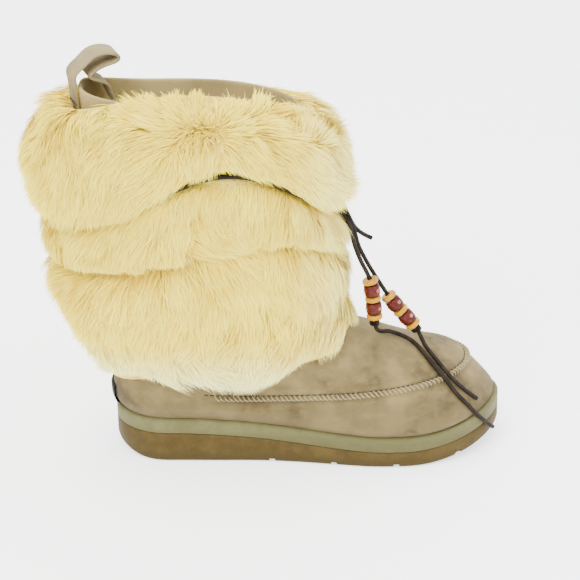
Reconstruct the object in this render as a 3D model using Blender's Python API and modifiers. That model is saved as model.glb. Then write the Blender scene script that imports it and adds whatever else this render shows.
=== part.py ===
"""Shearling boot: a right boot on its sole, toe towards +X, inner side of the foot towards +Y.

Metres, +Z up. The origin is on the flat underside of the outsole, at the middle of its length.
"""

import math

import bmesh
import bpy
import numpy as np
from mathutils import Vector

# Sole sizes, in metres
SOLE_LENGTH = 0.268
BALL_WIDTH = 0.098
HEEL_THICKNESS = 0.0217
FOREFOOT_THICKNESS = 0.0114
TOE_SPRING = 0.0115
HEEL_LIFT = 0.007
HEEL_ROUND = 0.038
TOE_ROUND = 0.068
BAND_HEIGHT = 0.0102
BAND_EDGE = 0.0022
OUTSOLE_EDGE = 0.0022
GROOVE_WIDTH = 0.0035
GROOVE_DEPTH = 0.002
GROOVE_PITCH = 0.0427
GROOVE_FIRST = -0.0255
GROOVE_COUNT = 4
INSOLE_THICKNESS = 0.005

# Upper sizes, in metres
WALL = 0.0025
FEATHER_INSET = 0.0032
BULGE_INSET = 0.0010
TOE_LEAN = 0.0045
HEEL_SWELL = 0.0020
FOOT_HEIGHT = 0.0665
UPPER_HEIGHT = 0.232
SHAFT_WIDTH = 0.068
SEAM_RIDGE = 0.0018

# Fur, strap and trim sizes, in metres
FUR_DEPTH = 0.042
LOCK_DEPTH = 0.0035
LOCK_DROP = 0.006
LOCK_STEP = 0.002
STRAP_WIDTH = 0.020
STRAP_THICKNESS = 0.002
STRAP_SEWN = 0.017
STRAP_RISE = 0.022
STRAP_REACH = 0.026
STRAP_TURN = math.radians(10)
HEEL_TAB_HEIGHT = 0.013
HEEL_TAB_THICKNESS = 0.0015

# Lace and bead sizes, in metres
CORD_DIAMETER = 0.003
CORD_STEP = 0.008
BEAD_HOLE = 0.0038
BEAD_WIDTH = 0.011
BARREL_LENGTH = 0.0082
RING_LENGTH = 0.0036
BEAD_GAP = 0.0008
FIRST_KNOT_WIDTH = 0.007
KNOT_HOLE = 0.0046
END_KNOT_WIDTH = 0.0078
END_KNOT_LENGTH = 0.0042

# Fits, in metres
GAP = 0.0003
SOFT_GAP = 0.0006

# Facets: stations along one side of a ring
SOLE_STATIONS = (6, 8, 8)
UPPER_STATIONS = (4, 7, 5)

# Outline of the sole: share of its length from the heel, half width and swing to the inner side
# as shares of the ball width
PLAN = (
    (0.00, 0.367, 0.000),
    (0.15, 0.365, -0.003),
    (0.27, 0.368, -0.012),
    (0.37, 0.363, -0.026),
    (0.47, 0.388, -0.031),
    (0.58, 0.444, -0.026),
    (0.67, 0.490, -0.015),
    (0.75, 0.500, -0.005),
    (0.85, 0.500, 0.014),
    (0.94, 0.500, 0.044),
    (1.00, 0.500, 0.071),
)
PLAN_SHARES, PLAN_HALVES, PLAN_SWINGS = np.array(PLAN).T

# Rings of the foot: ends as shares of the sole length from its middle, half widths as shares of the
# ball width, how much of the sole's outline the ring keeps, and heights above the midsole at the
# heel, a third and two thirds of the way, and the toe, as shares of the foot height
FOOT_RINGS = (
    # back, front, outer, inner, outline, heel, third, two thirds, toe
    (-0.503, 0.418, 0.438, 0.443, 0.95, 0.450, 0.250, 0.450, 0.455),
    (-0.500, 0.373, 0.405, 0.412, 0.70, 0.510, 0.375, 0.535, 0.630),
    (-0.495, 0.291, 0.378, 0.383, 0.40, 0.570, 0.475, 0.632, 0.755),
    (-0.490, 0.196, 0.362, 0.365, 0.15, 0.662, 0.602, 0.767, 0.900),
    (-0.486, 0.123, 0.354, 0.356, 0.00, 0.800, 0.790, 0.925, 1.000),
)

# Rings of the shaft: ends as above, half widths as shares of the shaft width, and heights as
# shares of the upper height
SHAFT_RINGS = (
    # back, front, outer, inner, heel, third, two thirds, toe
    (-0.482, 0.075, 0.500, 0.500, 0.293, 0.308, 0.355, 0.392),
    (-0.485, 0.041, 0.470, 0.470, 0.457, 0.481, 0.515, 0.545),
    (-0.515, 0.015, 0.440, 0.440, 0.664, 0.683, 0.700, 0.720),
    (-0.540, 0.006, 0.410, 0.410, 0.845, 0.835, 0.842, 0.850),
    (-0.552, 0.000, 0.385, 0.385, 1.000, 0.972, 0.972, 0.940),
)
OVAL_POWER = 2.2
COLLAR_POWER = 3.2

# Steps between neighbouring rings, from the feather line to the collar
RING_STEPS = (1, 2, 2, 2, 2, 2, 2, 2, 2, 2, 2)

# Lines round the shaft where the fur parts: heights at the heel, a third, two thirds and the front,
# as shares of the upper height
TOP_LINE = (0.949, 0.949, 0.956, 0.934)
UPPER_CREASE = (0.634, 0.708, 0.809, 0.667)
LOWER_CREASE = (0.496, 0.549, 0.616, 0.543)
HEM_LINE = (0.082, 0.136, 0.1875, 0.287)

# Fur sections, from the top round the outside to the bottom: share of the height between the
# band's two lines, reach at back, side and front as shares of the fur depth, how strong the locks
# are and which way they are combed (1 down, -1 up). Past 1, a height is how far the outer side
# stands above the band's top line, as a share of the fur depth.
CUFF_SECTION = (
    # height, back, side, front, locks, comb
    (1.38, 0.30, 0.20, 0.12, 0.5, -1),
    (1.16, 0.48, 0.40, 0.28, 0.7, -1),
    (0.88, 0.66, 0.54, 0.44, 0.8, -1),
    (0.64, 0.97, 0.70, 0.60, 1.0, 1),
    (0.42, 1.06, 0.73, 0.67, 1.0, 1),
    (0.20, 1.02, 0.68, 0.64, 1.0, 1),
    (0.00, 0.81, 0.52, 0.30, 0.0, 1),
)
MIDDLE_SECTION = (
    # height, back, side, front, locks, comb
    (1.00, 0.81, 0.52, 0.30, 0.0, 1),
    (0.74, 0.95, 0.62, 0.40, 0.6, 1),
    (0.36, 1.00, 0.67, 0.42, 0.8, 1),
    (0.00, 0.90, 0.57, 0.34, 0.0, 1),
)
LOWER_SECTION = (
    # height, back, side, front, locks, comb
    (1.00, 0.90, 0.57, 0.34, 0.0, 1),
    (0.88, 1.08, 0.62, 0.36, 0.8, 1),
    (0.66, 1.00, 0.62, 0.31, 1.0, 1),
    (0.45, 0.78, 0.52, 0.22, 1.0, 1),
    (0.25, 0.50, 0.36, 0.15, 1.0, 1),
    (0.06, 0.22, 0.24, 0.14, 0.5, 1),
)
CUFF_INSIDE = (0.0, 0.39, 0.78)
MIDDLE_INSIDE = (0.0, 0.5, 1.0)
LOWER_INSIDE = (0.08, 0.13, 0.19, 0.28, 0.40, 0.70, 1.0)

# Routes of the free cords, in millimetres: from the knot to the bare end
LACE_KNOT_CENTRE = (23.4, -4.0, 176.8)
TAB_ROUTE = (
    (26.6, -3.4, 174.2), (28.8, -3.6, 169.2), (31.2, -3.8, 164.2), (34.0, -4.0, 160.0),
    (37.6, -4.2, 156.8), (41.0, -4.4, 154.8), (44.6, -4.6, 153.0),
)
OUTER_ROUTE = (
    (23.6, -9.0, 174.6), (28.6, -11.5, 167.0), (31.0, -11.5, 158.0), (33.2, -11.0, 149.0),
    (37.0, -10.4, 138.5), (41.2, -10.0, 129.4), (43.8, -10.0, 121.6), (45.4, -10.0, 108.0),
    (46.4, -10.0, 95.6), (46.8, -10.0, 90.6), (48.2, -9.6, 86.6), (51.2, -7.6, 84.4),
    (55.2, -5.0, 83.2), (60.4, -3.8, 81.2), (66.3, -3.6, 78.6), (71.5, -5.9, 76.4),
    (75.5, -9.9, 74.4), (79.9, -16.1, 71.4), (84.4, -22.2, 67.6), (89.6, -28.1, 63.0),
    (93.3, -30.5, 58.9), (96.8, -30.9, 54.4), (102.6, -31.1, 46.4), (109.0, -31.0, 39.1),
    (117.6, -29.0, 28.6), (123.4, -25.4, 21.6), (128.4, -21.4, 15.6),
)
INNER_ROUTE = (
    (27.0, -7.6, 174.4), (29.8, -7.9, 168.6), (32.6, -8.0, 160.0), (35.4, -6.8, 149.0),
    (40.8, -4.6, 136.2), (46.7, -3.2, 124.8), (52.4, -3.4, 115.2), (57.6, -3.8, 107.0),
    (66.4, -4.0, 96.0), (74.8, -4.0, 85.6), (77.4, -3.6, 80.6), (79.2, -5.2, 77.0),
    (81.2, -9.4, 74.0), (85.4, -15.4, 70.4), (90.2, -21.8, 66.4), (96.8, -27.8, 60.0),
    (102.4, -26.8, 53.2), (109.3, -25.5, 46.2), (116.5, -23.8, 39.4),
)
# How far along each cord its first bead starts, in metres
OUTER_BEADS_FROM = 0.0535
INNER_BEADS_FROM = 0.0705

# Colours
SUEDE = (0.40, 0.31, 0.20)
PALE_BAND = (0.36, 0.33, 0.22)
GUM = (0.25, 0.17, 0.055)
CREAM_FUR = (0.75, 0.66, 0.34)
DARK_TAB = (0.10, 0.08, 0.05)
WOOL = (0.62, 0.55, 0.36)
LACE_BROWN = (0.045, 0.030, 0.020)
BEAD_YELLOW = (0.75, 0.40, 0.045)
BEAD_RED = (0.16, 0.018, 0.010)


def smooth_share(low, high, value):
    """0 below low, 1 above high and an eased rise between."""
    share = np.clip((value - low) / (high - low), 0.0, 1.0)
    return share * share * (3.0 - 2.0 * share)


def along_four(values, share):
    """A cubic through four values at equal steps of share."""
    share = np.asarray(share, float)
    third = share * 3.0
    total = np.zeros_like(third)
    for i, value in enumerate(values):
        term = np.full_like(third, float(value))
        for j in range(4):
            if j != i:
                term = term * (third - j) / (i - j)
        total = total + term
    return total


def heel_distance(x):
    """How far x lies from the back of the sole."""
    return np.clip(np.asarray(x, float) + SOLE_LENGTH / 2, 0.0, SOLE_LENGTH)


def sole_bottom(x):
    """Underside of the outsole: flat, lifted at the toe and at the very back."""
    d = heel_distance(x)
    toe_start = 0.746 * SOLE_LENGTH
    heel_end = 0.104 * SOLE_LENGTH
    toe = TOE_SPRING * np.clip((d - toe_start) / (SOLE_LENGTH - toe_start), 0.0, 1.0) ** 2
    return toe + HEEL_LIFT * np.clip((heel_end - d) / heel_end, 0.0, 1.0) ** 2


def sole_top(x):
    """Joint of outsole and midsole: a low wedge that rises with the toe."""
    d = heel_distance(x)
    toe_start = 0.728 * SOLE_LENGTH
    wedge = smooth_share(0.149 * SOLE_LENGTH, 0.709 * SOLE_LENGTH, d)
    height = HEEL_THICKNESS + (FOREFOOT_THICKNESS - HEEL_THICKNESS) * wedge
    return height + TOE_SPRING * np.clip((d - toe_start) / (SOLE_LENGTH - toe_start), 0.0, 1.0) ** 2


def midsole_top(x):
    """Top of the midsole, which every height of the upper is measured from."""
    return sole_top(x) + GAP + BAND_HEIGHT


def station_shares(counts):
    """Shares of the length for one side of a ring, close together round heel and toe."""
    heel_steps, middle_steps, toe_steps = counts
    heel = HEEL_ROUND / SOLE_LENGTH
    toe = TOE_ROUND / SOLE_LENGTH
    shares = [heel * (1 - math.cos(0.5 * math.pi * k / heel_steps)) for k in range(heel_steps)]
    shares += [heel + (1 - toe - heel) * k / middle_steps for k in range(middle_steps)]
    shares += [1 - toe * (1 - math.sin(0.5 * math.pi * k / toe_steps)) for k in range(toe_steps + 1)]
    return np.array(shares)


def plan_profile(share):
    """Half width of the sole as a share of the ball width, rounded off at heel and toe."""
    half = np.interp(share, PLAN_SHARES, PLAN_HALVES)
    heel = np.clip(1 - share * SOLE_LENGTH / HEEL_ROUND, 0.0, 1.0)
    toe = np.clip(1 - (1 - share) * SOLE_LENGTH / TOE_ROUND, 0.0, 1.0)
    return half * np.sqrt(1 - heel ** 2) * np.sqrt(1 - toe ** 2)


def plan_swing(share):
    """How far the middle line lies towards the inner side, as a share of the ball width."""
    return np.interp(share, PLAN_SHARES, PLAN_SWINGS)


def both_sides(shares):
    """Shares and sides round a ring: toe, inner side, heel, outer side."""
    inward = shares[::-1]
    outward = shares[1:-1]
    share = np.concatenate((inward, outward))
    side = np.concatenate((np.ones(len(inward)), -np.ones(len(outward))))
    return share, side


def ring_normals(ring):
    """Outward directions in plan for a closed ring that runs anticlockwise."""
    tangent = np.roll(ring, -1, axis=0) - np.roll(ring, 1, axis=0)
    normal = np.stack((tangent[:, 1], -tangent[:, 0]), axis=1)
    return normal / np.linalg.norm(normal, axis=1)[:, None]


def sole_ring(counts, inset):
    """The sole's outline in plan, moved in by inset."""
    share, side = both_sides(station_shares(counts))
    x = (share - 0.5) * SOLE_LENGTH
    y = BALL_WIDTH * (plan_swing(share) + side * plan_profile(share))
    ring = np.stack((x, y), axis=1)
    return ring - ring_normals(ring) * inset


def with_heights(ring, heights):
    """Plan points and heights as points."""
    return np.column_stack((ring[:, :2], heights))


def foot_ring(row, share, side):
    """One ring of the foot from its row of FOOT_RINGS."""
    back, front, outer, inner, outline, *heights = row
    x = SOLE_LENGTH * (back + (front - back) * share)
    oval = (1 - np.abs(2 * share - 1) ** OVAL_POWER) ** (1 / OVAL_POWER)
    profile = outline * 2 * plan_profile(share) + (1 - outline) * oval
    half = np.where(side > 0, inner, outer) * profile
    y = BALL_WIDTH * (side * half + outline * plan_swing(share))
    z = midsole_top(x) + FOOT_HEIGHT * along_four(heights, share)
    return np.column_stack((x, y, z))


def shaft_ring(row, share, side):
    """One ring of the shaft from its row of SHAFT_RINGS."""
    back, front, outer, inner, *heights = row
    x = SOLE_LENGTH * (back + (front - back) * share)
    power = OVAL_POWER + (COLLAR_POWER - OVAL_POWER) * heights[0] ** 2
    oval = (1 - np.abs(2 * share - 1) ** power) ** (1 / power)
    y = SHAFT_WIDTH * side * np.where(side > 0, inner, outer) * oval
    z = midsole_top(x) + UPPER_HEIGHT * along_four(heights, share)
    return np.column_stack((x, y, z))


def smooth_between(rings, index, t):
    """A point t of the way from ring index to the next, on a smooth curve through the rings."""
    last = len(rings) - 1
    before = rings[max(index - 1, 0)]
    start = rings[index]
    end = rings[index + 1]
    after = rings[min(index + 2, last)]
    lead = 0.5 * (end - before)
    trail = 0.5 * (after - start)
    return (
        (2 * t ** 3 - 3 * t ** 2 + 1) * start
        + (t ** 3 - 2 * t ** 2 + t) * lead
        + (3 * t ** 2 - 2 * t ** 3) * end
        + (t ** 3 - t ** 2) * trail
    )


def grid_normals(rows):
    """Outward directions on a grid of rings, from the feather line up."""
    across = np.roll(rows, -1, axis=1) - np.roll(rows, 1, axis=1)
    up = np.gradient(rows, axis=0)
    normal = np.cross(across, up)
    return normal / np.linalg.norm(normal, axis=2)[:, :, None]


def upper_rows():
    """Outer surface of the upper: rings from the feather line to the collar, with the moc seam."""
    share, side = both_sides(station_shares(UPPER_STATIONS))
    feather = sole_ring(UPPER_STATIONS, FEATHER_INSET)
    lean = TOE_LEAN * smooth_share(0.86, 1.0, share) - HEEL_SWELL * (1 - smooth_share(0.0, 0.12, share))
    bulge = feather + ring_normals(feather) * (FEATHER_INSET - BULGE_INSET - lean)[:, None]
    rings = [
        with_heights(feather, midsole_top(feather[:, 0]) + GAP),
        with_heights(bulge, midsole_top(bulge[:, 0]) + 0.12 * FOOT_HEIGHT),
    ]
    rings += [foot_ring(row, share, side) for row in FOOT_RINGS]
    rings += [shaft_ring(row, share, side) for row in SHAFT_RINGS]
    seam = 2
    rows = []
    ridge_row = None
    for index, steps in enumerate(RING_STEPS):
        rows += [smooth_between(rings, index, k / steps) for k in range(steps)]
        if index == seam:
            ridge_row = len(rows) - steps
            rows.insert(ridge_row, smooth_between(rings, seam - 1, 0.88))
            rows.insert(ridge_row + 2, smooth_between(rings, seam, 0.14))
            ridge_row += 1
    rows.append(rings[-1])
    rows = np.array(rows)
    ridge = SEAM_RIDGE * smooth_share(0.25, 0.33, share)
    rows[ridge_row] += grid_normals(rows)[ridge_row] * ridge[:, None]
    return rows


def wall_ring(heights):
    """Points and outward directions on the upper at given heights above the midsole, one a column.

    A height past the collar gives a point straight above it.
    """
    rows = upper_rows()
    normals = grid_normals(rows)
    above = rows[:, :, 2] - midsole_top(rows[:, :, 0])
    points = np.empty((rows.shape[1], 3))
    outward = np.empty_like(points)
    for column in range(rows.shape[1]):
        for axis in range(3):
            points[column, axis] = np.interp(heights[column], above[:, column], rows[:, column, axis])
            outward[column, axis] = np.interp(heights[column], above[:, column], normals[:, column, axis])
    points[:, 2] = np.maximum(points[:, 2], midsole_top(points[:, 0]) + heights)
    return points, outward / np.linalg.norm(outward, axis=1)[:, None]


def twice_as_many(ring):
    """A ring with a point added halfway along each side of it."""
    halfway = 0.5 * (ring + np.roll(ring, -1, axis=0))
    return np.stack((ring, halfway), axis=1).reshape(-1, ring.shape[1])


def by_quarter(back, side, front, share):
    """A value that runs from back through side to front along a ring."""
    along = 2 * share - 1
    end = np.where(along < 0, back, front)
    return side + (end - side) * np.abs(along) ** 2.5


def fur_rows(top_line, bottom_line, section, inside):
    """Rings of one fur band: down its outside lock by lock, and up the inside along the upper."""
    share, side_sign = both_sides(station_shares(UPPER_STATIONS))
    top = along_four(top_line, share) * UPPER_HEIGHT
    bottom = along_four(bottom_line, share) * UPPER_HEIGHT
    outer_side = np.where(side_sign < 0, by_quarter(0.0, 1.0, 0.0, share), 0.0)
    tooth = np.where(np.arange(2 * len(share)) % 2 == 0, 1.0, -1.0)
    rows = []
    for index, (height, back, side, front, locks, comb) in enumerate(section):
        stand = max(height - 1, 0.0) * FUR_DEPTH * outer_side
        points, _ = wall_ring(bottom + (top - bottom) * min(height, 1.0) + stand)
        points = twice_as_many(points)
        normal = ring_normals(points[:, :2])
        reach = twice_as_many(by_quarter(back, side, front, share)[:, None])[:, 0] * FUR_DEPTH
        lock = locks * tooth * (1 if index % 2 else -1)
        tips = reach + 0.5 * LOCK_DEPTH * lock
        tip_row = points.copy()
        tip_row[:, :2] += normal * tips[:, None]
        tip_row[:, 2] -= comb * 0.5 * LOCK_DROP * lock
        rows.append(tip_row)
        if locks:
            root_row = points.copy()
            root_row[:, :2] += normal * (reach - LOCK_DEPTH * locks * (0.8 + 0.2 * tooth))[:, None]
            root_row[:, 2] -= comb * (0.5 * LOCK_DROP * lock + LOCK_STEP * locks)
            rows.insert(len(rows) if comb > 0 else len(rows) - 1, root_row)
    for height in inside:
        points, outward = wall_ring(bottom + (top - bottom) * height)
        rows.append(twice_as_many(points + outward * SOFT_GAP))
    return np.array(rows)


def new_object(name, mesh, collection, root, look):
    """An object with its material, in the collection and under the root."""
    obj = bpy.data.objects.new(name, mesh)
    mesh.materials.clear()
    mesh.materials.append(look)
    collection.objects.link(obj)
    obj.parent = root
    return obj


def ring_mesh(name, rows, closed_section):
    """A mesh of four-sided faces between neighbouring rings."""
    count = rows.shape[1]
    levels = rows.shape[0]
    bm = bmesh.new()
    verts = [[bm.verts.new(point) for point in row] for row in rows]
    last = levels if closed_section else levels - 1
    for level in range(last):
        low = verts[level]
        high = verts[(level + 1) % levels]
        for k in range(count):
            after = (k + 1) % count
            bm.faces.new((low[k], low[after], high[after], high[k]))
    if closed_section:
        bmesh.ops.recalc_face_normals(bm, faces=bm.faces)
    mesh = bpy.data.meshes.new(name)
    bm.to_mesh(mesh)
    bm.free()
    mesh.shade_smooth()
    return mesh


def slab_mesh(name, rows):
    """A closed slab: rings from bottom to top, with both ends closed by strips across."""
    count = rows.shape[1]
    half = count // 2
    bm = bmesh.new()
    verts = [[bm.verts.new(point) for point in row] for row in rows]
    for low, high in zip(verts, verts[1:]):
        for k in range(count):
            after = (k + 1) % count
            bm.faces.new((low[k], low[after], high[after], high[k]))
    for ring, upward in ((verts[0], False), (verts[-1], True)):
        for k in range(half):
            corners = [ring[k], ring[k + 1], ring[(count - k - 1) % count], ring[(count - k) % count]]
            corners = list(dict.fromkeys(corners))
            bm.faces.new(corners if upward else corners[::-1])
    bmesh.ops.recalc_face_normals(bm, faces=bm.faces)
    mesh = bpy.data.meshes.new(name)
    bm.to_mesh(mesh)
    bm.free()
    mesh.shade_smooth()
    mesh.set_sharp_from_angle(angle=math.radians(40))
    return mesh


def principled(name, colour, roughness):
    """A plain material with the piece's colour."""
    look = bpy.data.materials.new(name)
    look.use_nodes = True
    shader = look.node_tree.nodes["Principled BSDF"]
    shader.inputs["Base Color"].default_value = (*colour, 1.0)
    shader.inputs["Roughness"].default_value = roughness
    shader.inputs["Metallic"].default_value = 0.0
    look.diffuse_color = (*colour, 1.0)
    return look


def build_outsole(collection, cutters, root):
    """The gum outsole with its edge chamfer and the grooves across its tread."""
    bottom = sole_ring(SOLE_STATIONS, OUTSOLE_EDGE)
    low = sole_ring(SOLE_STATIONS, 0.3 * OUTSOLE_EDGE)
    top = sole_ring(SOLE_STATIONS, 0.0)
    rows = np.array((
        with_heights(bottom, sole_bottom(bottom[:, 0])),
        with_heights(low, sole_bottom(low[:, 0]) + 0.8 * OUTSOLE_EDGE),
        with_heights(top, sole_top(top[:, 0])),
    ))
    obj = new_object("outsole", slab_mesh("outsole", rows), collection, root, principled("gum", GUM, 0.6))
    for index in range(GROOVE_COUNT):
        x = GROOVE_FIRST + GROOVE_PITCH * index
        top_of_cut = float(sole_bottom(x)) + GROOVE_DEPTH
        below = -HEEL_THICKNESS
        bpy.ops.mesh.primitive_cube_add(size=1.0, location=(x, 0.0, 0.5 * (top_of_cut + below)))
        cutter = bpy.context.object
        cutter.name = f"groove_cutter_{index + 1}"
        cutter.scale = (GROOVE_WIDTH, 1.5 * BALL_WIDTH, top_of_cut - below)
        for old in list(cutter.users_collection):
            old.objects.unlink(cutter)
        cutters.objects.link(cutter)
        cutter.hide_render = True
        cutter.display_type = "WIRE"
        cut = obj.modifiers.new(f"groove_{index + 1}", "BOOLEAN")
        cut.operation = "DIFFERENCE"
        cut.solver = "EXACT"
        cut.object = cutter
    return obj


def build_midsole(collection, root):
    """The pale band slab, its rim rounded over."""
    side = sole_ring(SOLE_STATIONS, 0.0)
    low = sole_ring(SOLE_STATIONS, 0.15 * BAND_EDGE)
    rim = sole_ring(SOLE_STATIONS, 0.35 * BAND_EDGE)
    top = sole_ring(SOLE_STATIONS, BAND_EDGE)
    rows = np.array((
        with_heights(side, sole_top(side[:, 0]) + GAP),
        with_heights(low, sole_top(low[:, 0]) + GAP + 0.55 * BAND_HEIGHT),
        with_heights(rim, sole_top(rim[:, 0]) + GAP + BAND_HEIGHT - 0.5 * BAND_EDGE),
        with_heights(top, midsole_top(top[:, 0])),
    ))
    look = principled("pale_band", PALE_BAND, 0.7)
    return new_object("midsole", slab_mesh("midsole", rows), collection, root, look)


def build_insole(collection, root):
    """The insole, inside the upper's wall and on the midsole."""
    inset = FEATHER_INSET + WALL + SOFT_GAP + 0.6 * TOE_LEAN
    edge = sole_ring(SOLE_STATIONS, inset)
    crown = sole_ring(SOLE_STATIONS, inset + 0.2 * INSOLE_THICKNESS)
    base = midsole_top(edge[:, 0]) + GAP
    rows = np.array((
        with_heights(edge, base),
        with_heights(edge, base + 0.7 * INSOLE_THICKNESS),
        with_heights(crown, midsole_top(crown[:, 0]) + GAP + INSOLE_THICKNESS),
    ))
    return new_object("insole", slab_mesh("insole", rows), collection, root, principled("wool", WOOL, 0.95))


def build_upper(collection, root):
    """The upper: its outer surface, given the wall's thickness inwards."""
    mesh = ring_mesh("upper", upper_rows(), closed_section=False)
    obj = new_object("upper", mesh, collection, root, principled("suede", SUEDE, 0.9))
    wall = obj.modifiers.new("wall", "SOLIDIFY")
    wall.thickness = WALL
    wall.offset = -1.0
    wall.use_rim = True
    return obj


def lowered(line, by):
    """A line round the shaft, moved down by a length."""
    return tuple(value - by / UPPER_HEIGHT for value in line)


def build_fur(collection, root, crease_room):
    """The three bands of fur, parted at the creases."""
    look = principled("cream_fur", CREAM_FUR, 1.0)
    half = 0.5 * crease_room
    bands = (
        ("fur_cuff", TOP_LINE, lowered(UPPER_CREASE, -half), CUFF_SECTION, CUFF_INSIDE),
        ("fur_middle", lowered(UPPER_CREASE, half), lowered(LOWER_CREASE, -SOFT_GAP), MIDDLE_SECTION, MIDDLE_INSIDE),
        ("fur_lower", lowered(LOWER_CREASE, SOFT_GAP), HEM_LINE, LOWER_SECTION, LOWER_INSIDE),
    )
    for name, top_line, bottom_line, section, inside in bands:
        rows = fur_rows(top_line, bottom_line, section, inside)
        new_object(name, ring_mesh(name, rows, closed_section=True), collection, root, look)


def smooth_route(points, step):
    """Points at equal steps of length along a smooth curve through the given ones, in metres."""
    points = np.array(points) / 1000
    fine = [points[0]]
    for index in range(len(points) - 1):
        fine += [smooth_between(points, index, k / 12) for k in range(1, 13)]
    fine = np.array(fine)
    length = np.concatenate(([0.0], np.cumsum(np.linalg.norm(np.diff(fine, axis=0), axis=1))))
    count = max(3, round(length[-1] / step) + 1)
    wanted = np.linspace(0.0, length[-1], count)
    return np.stack([np.interp(wanted, length, fine[:, axis]) for axis in range(3)], axis=1)


def place_along(points, start, end):
    """The middle and the direction of the stretch between two distances along a route."""
    length = np.concatenate(([0.0], np.cumsum(np.linalg.norm(np.diff(points, axis=0), axis=1))))
    low, high = (
        Vector([float(np.interp(distance, length, points[:, axis])) for axis in range(3)])
        for distance in (start, end)
    )
    return (low + high) / 2, (high - low).normalized()


def cord_object(name, points, collection, root, look, closed=False):
    """A round cord along the points."""
    curve = bpy.data.curves.new(name, "CURVE")
    curve.dimensions = "3D"
    curve.bevel_depth = 0.5 * CORD_DIAMETER
    curve.bevel_resolution = 1 if closed else 2
    curve.use_fill_caps = not closed
    spline = curve.splines.new("POLY")
    spline.points.add(len(points) - 1)
    for target, point in zip(spline.points, points):
        target.co = (*point, 1.0)
    spline.use_cyclic_u = closed
    curve.materials.append(look)
    obj = bpy.data.objects.new(name, curve)
    collection.objects.link(obj)
    obj.parent = root
    return obj


def turned_mesh(name, hole, width, length, crown):
    """The profile of a bead: its hole's wall, ends and crowned outside, ready for a Screw modifier."""
    inner = 0.5 * hole
    outer = 0.5 * width
    half = 0.5 * length
    shoulder = inner + (outer - inner) * crown
    profile = [(inner, half), (shoulder, half), (outer, 0.45 * half), (outer, -0.45 * half)]
    profile += [(shoulder, -half), (inner, -half)]
    mesh = bpy.data.meshes.new(name)
    edges = [(k, (k + 1) % len(profile)) for k in range(len(profile))]
    mesh.from_pydata([(x, 0.0, z) for x, z in profile], edges, [])
    return mesh


def turned_object(name, mesh, place, direction, steps, collection, root, look):
    """A turned bead or knot on the cord, its axis along the cord."""
    obj = new_object(name, mesh, collection, root, look)
    obj.location = place
    obj.rotation_mode = "QUATERNION"
    obj.rotation_quaternion = direction.to_track_quat("Z", "Y")
    turn = obj.modifiers.new("turn", "SCREW")
    turn.axis = "Z"
    turn.steps = steps
    turn.render_steps = steps
    turn.use_merge_vertices = True
    turn.merge_threshold = 0.00001
    return obj


def build_beaded_end(side, route, beads_from, collection, root, looks):
    """One long end of the lace with its beads and the knot that stops them."""
    lace, yellow, red = looks
    points = smooth_route(route, CORD_STEP)
    cord_object(f"lace_end_{side}", points, collection, root, lace)
    distance = beads_from
    for index in range(5):
        is_ring = index % 2 == 0
        length = RING_LENGTH if is_ring else BARREL_LENGTH
        place, direction = place_along(points, distance, distance + length)
        name = f"bead_{side}_{index + 1}"
        mesh = turned_mesh(name, BEAD_HOLE, BEAD_WIDTH, length, 0.8)
        turned_object(name, mesh, place, direction, 10, collection, root, yellow if is_ring else red)
        distance += length + BEAD_GAP
    place, direction = place_along(points, distance, distance + END_KNOT_LENGTH)
    mesh = turned_mesh(f"knot_{side}", KNOT_HOLE, END_KNOT_WIDTH, END_KNOT_LENGTH, 0.5)
    turned_object(f"knot_{side}", mesh, place, direction, 10, collection, root, lace)


def build_lace(collection, root):
    """The lace round the shaft in the upper crease, its knot, short end and two long ends."""
    look = principled("lace_leather", LACE_BROWN, 0.6)
    share, _ = both_sides(station_shares(UPPER_STATIONS))
    points, _ = wall_ring(along_four(UPPER_CREASE, share) * UPPER_HEIGHT)
    _, back, side, front, _, _ = CUFF_SECTION[-1]
    reach = by_quarter(back, side, front, share) * FUR_DEPTH + 0.3 * CORD_DIAMETER
    points[:, :2] += ring_normals(points[:, :2]) * reach[:, None]
    cord_object("lace_wrap", points, collection, root, look, closed=True)
    bpy.ops.mesh.primitive_uv_sphere_add(
        segments=10, ring_count=6, radius=0.5 * FIRST_KNOT_WIDTH,
        location=[value / 1000 for value in LACE_KNOT_CENTRE],
    )
    knot = bpy.context.object
    for old in list(knot.users_collection):
        old.objects.unlink(knot)
    knot.name = "lace_knot"
    knot.data.name = "lace_knot"
    knot.data.materials.append(look)
    knot.data.shade_smooth()
    collection.objects.link(knot)
    knot.parent = root
    cord_object("lace_tab", smooth_route(TAB_ROUTE, CORD_STEP), collection, root, look)
    looks = (look, principled("bead_yellow", BEAD_YELLOW, 0.3), principled("bead_red", BEAD_RED, 0.3))
    build_beaded_end("outer", OUTER_ROUTE, OUTER_BEADS_FROM, collection, root, looks)
    build_beaded_end("inner", INNER_ROUTE, INNER_BEADS_FROM, collection, root, looks)


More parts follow.
